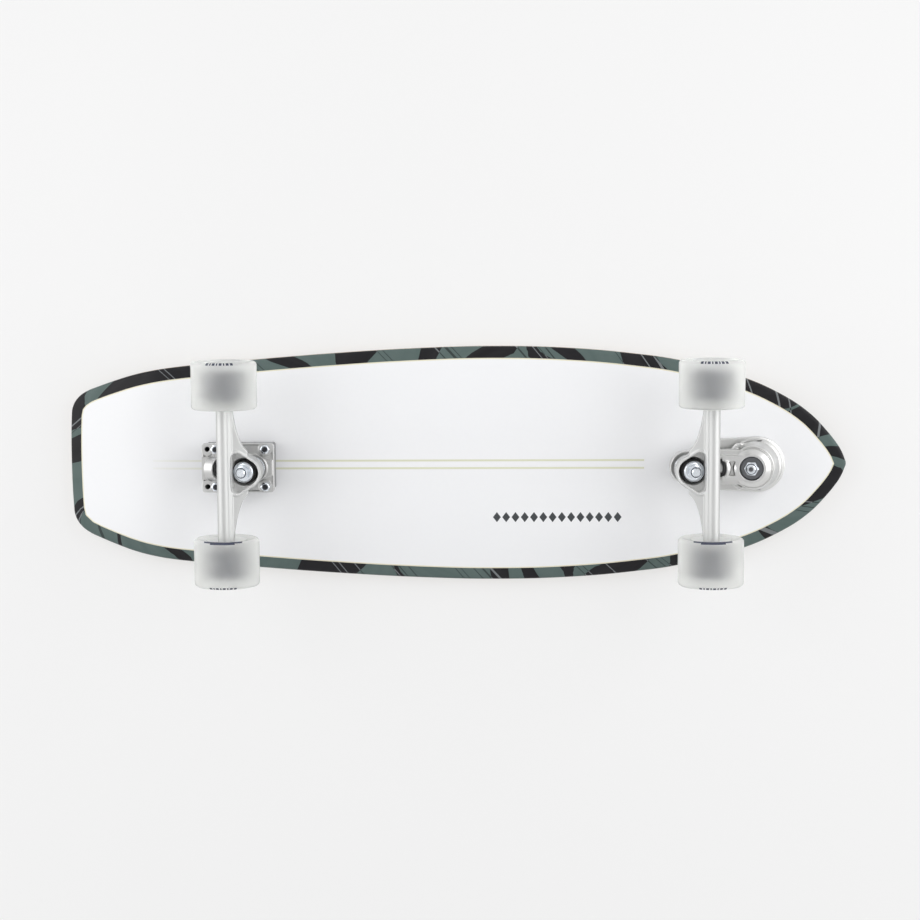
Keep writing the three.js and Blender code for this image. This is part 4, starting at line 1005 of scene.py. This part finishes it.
def makeFrontBase(arm):
    inboard, half, corner = arm.inboard, arm.half, arm.corner
    outline = wrapped([[-truck.swivelOffset, 0, arm.endRadius], [inboard, -half, corner], [inboard, half, corner]], 24)
    plate = raised(outline, arm.face, arm.top, edge=0.8)
    base = carve(
        plate, joins=[peg(arm.turretRadius, -arm.turret, arm.turret, 128, swivelPlace)],
        within=[block((-120, -60, 0), (60, 60, arm.top))],
        cuts=[
            peg(arm.boltRoom, -30, arm.boltFloor, 48, swivelPlace), peg(arm.shankRoom, 0, 30, 48, swivelPlace),
            *holePegs(arm.rows, 30, 120), *holePegs(arm.rows[:1], 30, arm.face, arm.pocket),
        ], soft=arm,
    )
    finish(base, "front_base_casting", "board", "casting", ["tumbledCasting"], truckPlace("front"), angle=60,
           replaced=["front_base"])


def makeArm(arm):
    land, recess, roof, skirt, back, low = arm.land, arm.recess, arm.roof, arm.skirt, arm.seatBack, arm.lowSwivel
    head = spun([
        [arm.bore, arm.hub], [arm.sleeve, arm.hub], [arm.sleeve, roof], [arm.springRoom, roof], [arm.springRoom, skirt],
        *arm.head, [arm.recessRadius, land], [arm.recessRadius, recess], [arm.bore, recess],
    ], 160, place=swivelPlace)
    wings = raised(arm.wing, arm.wingLow, arm.wingHigh, swivelPlace)
    first, last = [Vector(spot) for spot in arm.ridge]
    along = (last - first).normalized()
    across = Vector((-along.y, along.x)) * arm.ridgeHalf
    outline = [first - across, last - across, last + across, first + across]
    ridges = [raised([(spot.x, sign * spot.y) for spot in outline], arm.wingLow, arm.ridgeHigh, swivelPlace)
              for sign in (1, -1)]
    half, side = arm.neckHalf, truck.bossRadius
    seat = raised(wrapped([
        [arm.seatOffset, 0, arm.seatRadius], [low, side, half / 2], [low, -side, half / 2],
    ], 16), truck.seatRise, back)
    neck = raised([(low, -half), (arm.neckEnd, -half), (arm.neckEnd, half), (low, half)], arm.neckRise, back)
    outer = carve(wings, joins=[*ridges, seat, neck, *seatBosses(arm.seatRadius)], cuts=[
        peg(arm.springRoom, -30, roof, 96, swivelPlace), peg(60, -30, skirt, 96, swivelPlace),
        peg(arm.recessRadius, recess, 90, 96, swivelPlace), peg(arm.bore, skirt, 90, 48, swivelPlace),
    ])
    quarter = [(arm.pocketHalf, arm.pocketWide), (arm.pocketWaist, arm.waistWide)]
    right = [(x, -y) for x, y in quarter] + quarter[::-1]
    hourglass = [(arm.pocketMiddle + x, y) for x, y in right + [(-x, -y) for x, y in right]]
    whole = carve(head, joins=[outer], cuts=seatCuts() + [
        block((-200, -90, back), (200, 90, 140)), raised(hourglass, 20, arm.pocketTop),
    ], soft=arm)
    finish(whole, "front_arm_casting", "front_swing_arm", "casting", ["tumbledCasting"], truckPlace("front"), angle=60,
           replaced=["front_arm"])


def makeSpring(arm):  # a round wire wound up the swivel bolt
    data = bpy.data.curves.new("spring", "CURVE")
    data.dimensions, data.use_fill_caps = "3D", True
    data.bevel_depth, data.bevel_resolution = arm.springWire, 3
    spline = data.splines.new("POLY")
    steps = int(arm.springTurns * 36)
    spline.points.add(steps)
    for i, point in enumerate(spline.points):
        turn = i / steps * arm.springTurns * 2 * math.pi
        height = arm.springLow + i / steps * (arm.springHigh - arm.springLow)
        point.co = (arm.springMiddle * math.cos(turn), arm.springMiddle * math.sin(turn), height, 1)
    bm = fromMesh(curveMesh(data))
    bmesh.ops.recalc_face_normals(bm, faces=bm.faces)
    finish(bm, "coiled_return_spring", "board", "spring_steel", ["springSteel"], truckPlace("front") @ swivelPlace,
           replaced=["return_spring"])


def makeSwivelSet(arm):
    place = truckPlace("front") @ swivelPlace
    radius, tip, bore, seat = arm.boltRadius, arm.boltTip, arm.bore, arm.recess
    thread = threaded(radius - 0.05, *arm.thread, arm.nutStart - 2, tip - 1)
    bolt = spun([
        [0, arm.headLow], [arm.headRadius, arm.headLow], [arm.headRadius, arm.headHigh], [radius, arm.headHigh],
        *thread, [radius - 1, tip], [arm.socket, tip], [arm.socket - 0.2, tip - 3.6], [0, tip - 4.4],
    ], 48, {1: 0.8, 2: 0.5})
    # the socket's walls are painted darker zinc: painted shade inside the socket
    paint(bolt, 1, lambda spot: spot.xy.length < arm.socket + 0.02 and tip - 5 < spot.z < tip - 0.1)
    low, high, edge, thick = arm.raceLow, arm.raceHigh, arm.raceRadius, arm.raceThick
    waist = edge - arm.raceGap
    race = spun([
        [bore, low], [edge, low], [edge, low + thick], [waist, low + thick + 0.2], [waist, high - thick - 0.2],
        [edge, high - thick], [edge, high], [bore, high],
    ], 72, {1: 0.4, 6: 0.4})
    washer = peg(arm.washer, seat + 0.3, seat + 2, 72, None, {1: 0.3, 2: 0.5}, bore)
    nut = lockNut(arm.nutWidth, arm.nutHeight, radius + 0.1, upBy(arm.nutStart))
    for shape, name, slot, materials, replaced in (
        (bolt, "swivel_pin", "zinc", ["brightZinc", "darkZincAndSocketShade"], "swivel_bolt"),
        (race, "swivel_thrust_race", "bearing", ["bearingSteel"], "swivel_bearing"),
        (washer, "swivel_seat_washer", "zinc", ["darkZincAndSocketShade"], "swivel_washer"),
        (nut, "swivel_lock_nut", "zinc", ["brightZinc", "nutNylon"], "swivel_nut"),
    ):
        finish(shape, name, "board", slot, materials, place, replaced=[replaced])


arm = Values(armValues)
for make in (makeFrontBase, makeArm, makeSpring, makeSwivelSet):
    make(arm)
print("front truck made")


# deck bolts with countersunk heads, and their lock nuts

boltValues = {
    "radius": 2.35, "headRadius": 4.7, "top": 132.3, "deckTop": 131.16, "countersink": 128.46,
    "nutWidth": 9.4, "nutHeight": 4.2, "tip": 1.4, "thread": (0.2, 0.8), "socket": 1.9, "socketDeep": 1.6,
    "nutTops": {"rear": 88.36, "front": 112.86},
    "spots": [("rear", "outboard", -257.3), ("rear", "inboard", -203.3), ("front", "outboard", 337.0),
              ("front", "inboard", 283.0)],
}


def makeBolt(bolt, end, name, place):
    radius, outer, top, nutTop = bolt.radius, bolt.headRadius, bolt.top, bolt.nutTops[end]
    low = nutTop - bolt.nutHeight - bolt.tip
    shank = carve(spun([
        [0, low], [radius - 0.4, low], *threaded(radius, *bolt.thread, low + 0.5, nutTop + 3),
        [radius, bolt.countersink], [outer, bolt.deckTop], [outer, top - 0.3], [outer - 0.3, top], [0, top],
    ], 32), cuts=[raised(hexagon(2 * bolt.socket), top - bolt.socketDeep, top + 2)])
    paint(shank, 2, lambda spot: True)
    nut = lockNut(bolt.nutWidth, bolt.nutHeight, radius + 0.05, upBy(nutTop) @ flipped)
    finish(together(shank, nut), name + "_deck_bolt", "board", "zinc", ["brightZinc", "nutNylon", "blackSteel"], place,
           replaced=[name + "_bolt"])


bolt = Values(boltValues)
for end, row, x in bolt.spots:
    for side, sign in bothSides:
        makeBolt(bolt, end, end + "_" + row + "_" + side, Matrix.Translation((x, sign * truck.rowHalf, 0)))
print("deck bolts made")


# room and light

roomValues = {
    "pale": 0.905, "ambient": 0.65, "below": 0.66, "belowFrom": 0.82, "belowTo": 0.98,
    "floorHalf": 5, "floorTone": 0.9, "backdropHalf": 1.6, "backdropTone": 0.885, "backdropHeight": 0.1425,
    "backdropRise": 0.0265, "backdropBend": (-0.29, -0.445), "shade": 0.4, "fadeFrom": 0.5, "fadeTo": 1.25,
    "lamps": [
        ["tailLamp", (-1.5, -0.5, -0.85), 1.7, 14.2], ["noseLamp", (1.5, -0.5, -0.85), 1.7, 17.2],
        ["topLamp", (0.4, -0.7, 2.0), 1.8, 18],
    ],
    "aim": (0, 0, 0.1),
}


def softStep(tree, value, limits):
    return tree.add("MapRange", {"Value": value, **limits}, interpolation_type="SMOOTHSTEP").outputs["Result"]


def paleSurface(room, name, tone):  # pale to the camera and in reflections, and it takes the object's shadow
    material = bpy.data.materials.new(name)
    material.use_nodes = True
    material.node_tree.nodes.clear()
    tree = Nodes(material.node_tree)
    flat = tree.add("Emission", {"Color": (room.pale,) * 3}).outputs[0]
    lit = tree.add("BsdfDiffuse", {"Color": (tone,) * 3}).outputs[0]
    clear = tree.add("BsdfTransparent").outputs[0]
    reach = tree.add("VectorMath", {0: tree.add("TexCoord").outputs["Object"]}, operation="LENGTH").outputs["Value"]
    fade = softStep(tree, reach, {
        "From Min": room.fadeFrom, "From Max": room.fadeTo, "To Min": room.shade, "To Max": 0,
    })
    surface = tree.add("MixShader", {0: fade, 1: flat, 2: lit}).outputs[0]
    path = tree.add("LightPath").outputs
    seen = tree.math("MAXIMUM", path["Is Camera Ray"], path["Is Transmission Ray"])
    front = tree.math("SUBTRACT", 1.0, tree.add("NewGeometry").outputs["Backfacing"])
    shown = tree.add("MixShader", {0: tree.math("MULTIPLY", seen, front), 1: clear, 2: surface}).outputs[0]
    tree.add("OutputMaterial", {"Surface": shown})
    return material


def makePlane(name, half, height, facing, material, bend=(0, 1), rise=0):
    bm = bmesh.new()
    bmesh.ops.create_grid(bm, x_segments=160, y_segments=1, size=half)
    bmesh.ops.translate(bm, verts=bm.verts, vec=(0, 0, height))
    for vertex in bm.verts:
        vertex.co.z += rise * eased((vertex.co.x - bend[0]) / (bend[1] - bend[0]))
    if facing < 0:
        bmesh.ops.reverse_faces(bm, faces=bm.faces)
    mesh = toMesh(bm, name)
    mesh.shade_smooth()
    mesh.materials.append(material)
    plane = linked(name, mesh)


def makeRoom(room):
    world = bpy.data.worlds.new("studio")
    bpy.context.scene.world = world
    world.use_nodes = True
    tree = Nodes(world.node_tree)
    path = tree.add("LightPath").outputs
    seen = tree.math("MAXIMUM", path["Is Glossy Ray"], path["Is Transmission Ray"])
    seen = tree.math("MAXIMUM", path["Is Camera Ray"], seen)
    tone = tree.mix(seen, (room.ambient,) * 3, (room.pale,) * 3)
    split = tree.add("SeparateXYZ", {0: tree.add("TexCoord").outputs["Generated"]}).outputs
    down = tree.math("MULTIPLY", split["Z"], -1.0)
    below = softStep(tree, down, {"From Min": room.belowFrom, "From Max": room.belowTo})
    darker = tree.math("MULTIPLY", below, path["Is Glossy Ray"])
    tree.give(world.node_tree.nodes["Background"], {"Color": tree.mix(darker, tone, (room.below,) * 3)})
    makePlane("floor", room.floorHalf, 0, 1, paleSurface(room, "paleFloor", room.floorTone))
    makePlane("backdrop", room.backdropHalf, room.backdropHeight, -1,
              paleSurface(room, "paleBackdrop", room.backdropTone), room.backdropBend, room.backdropRise)
    for name, place, size, watts in room.lamps:
        data = bpy.data.lights.new(name, "AREA")
        data.size, data.energy = size, watts
        lamp = linked(name, data)
        lamp.location = place
        lamp.rotation_euler = (Vector(room.aim) - Vector(place)).to_track_quat("-Z", "Y").to_euler()


makeRoom(Values(roomValues))
bpy.context.scene.view_settings.view_transform = "Standard"
print("room and light made")
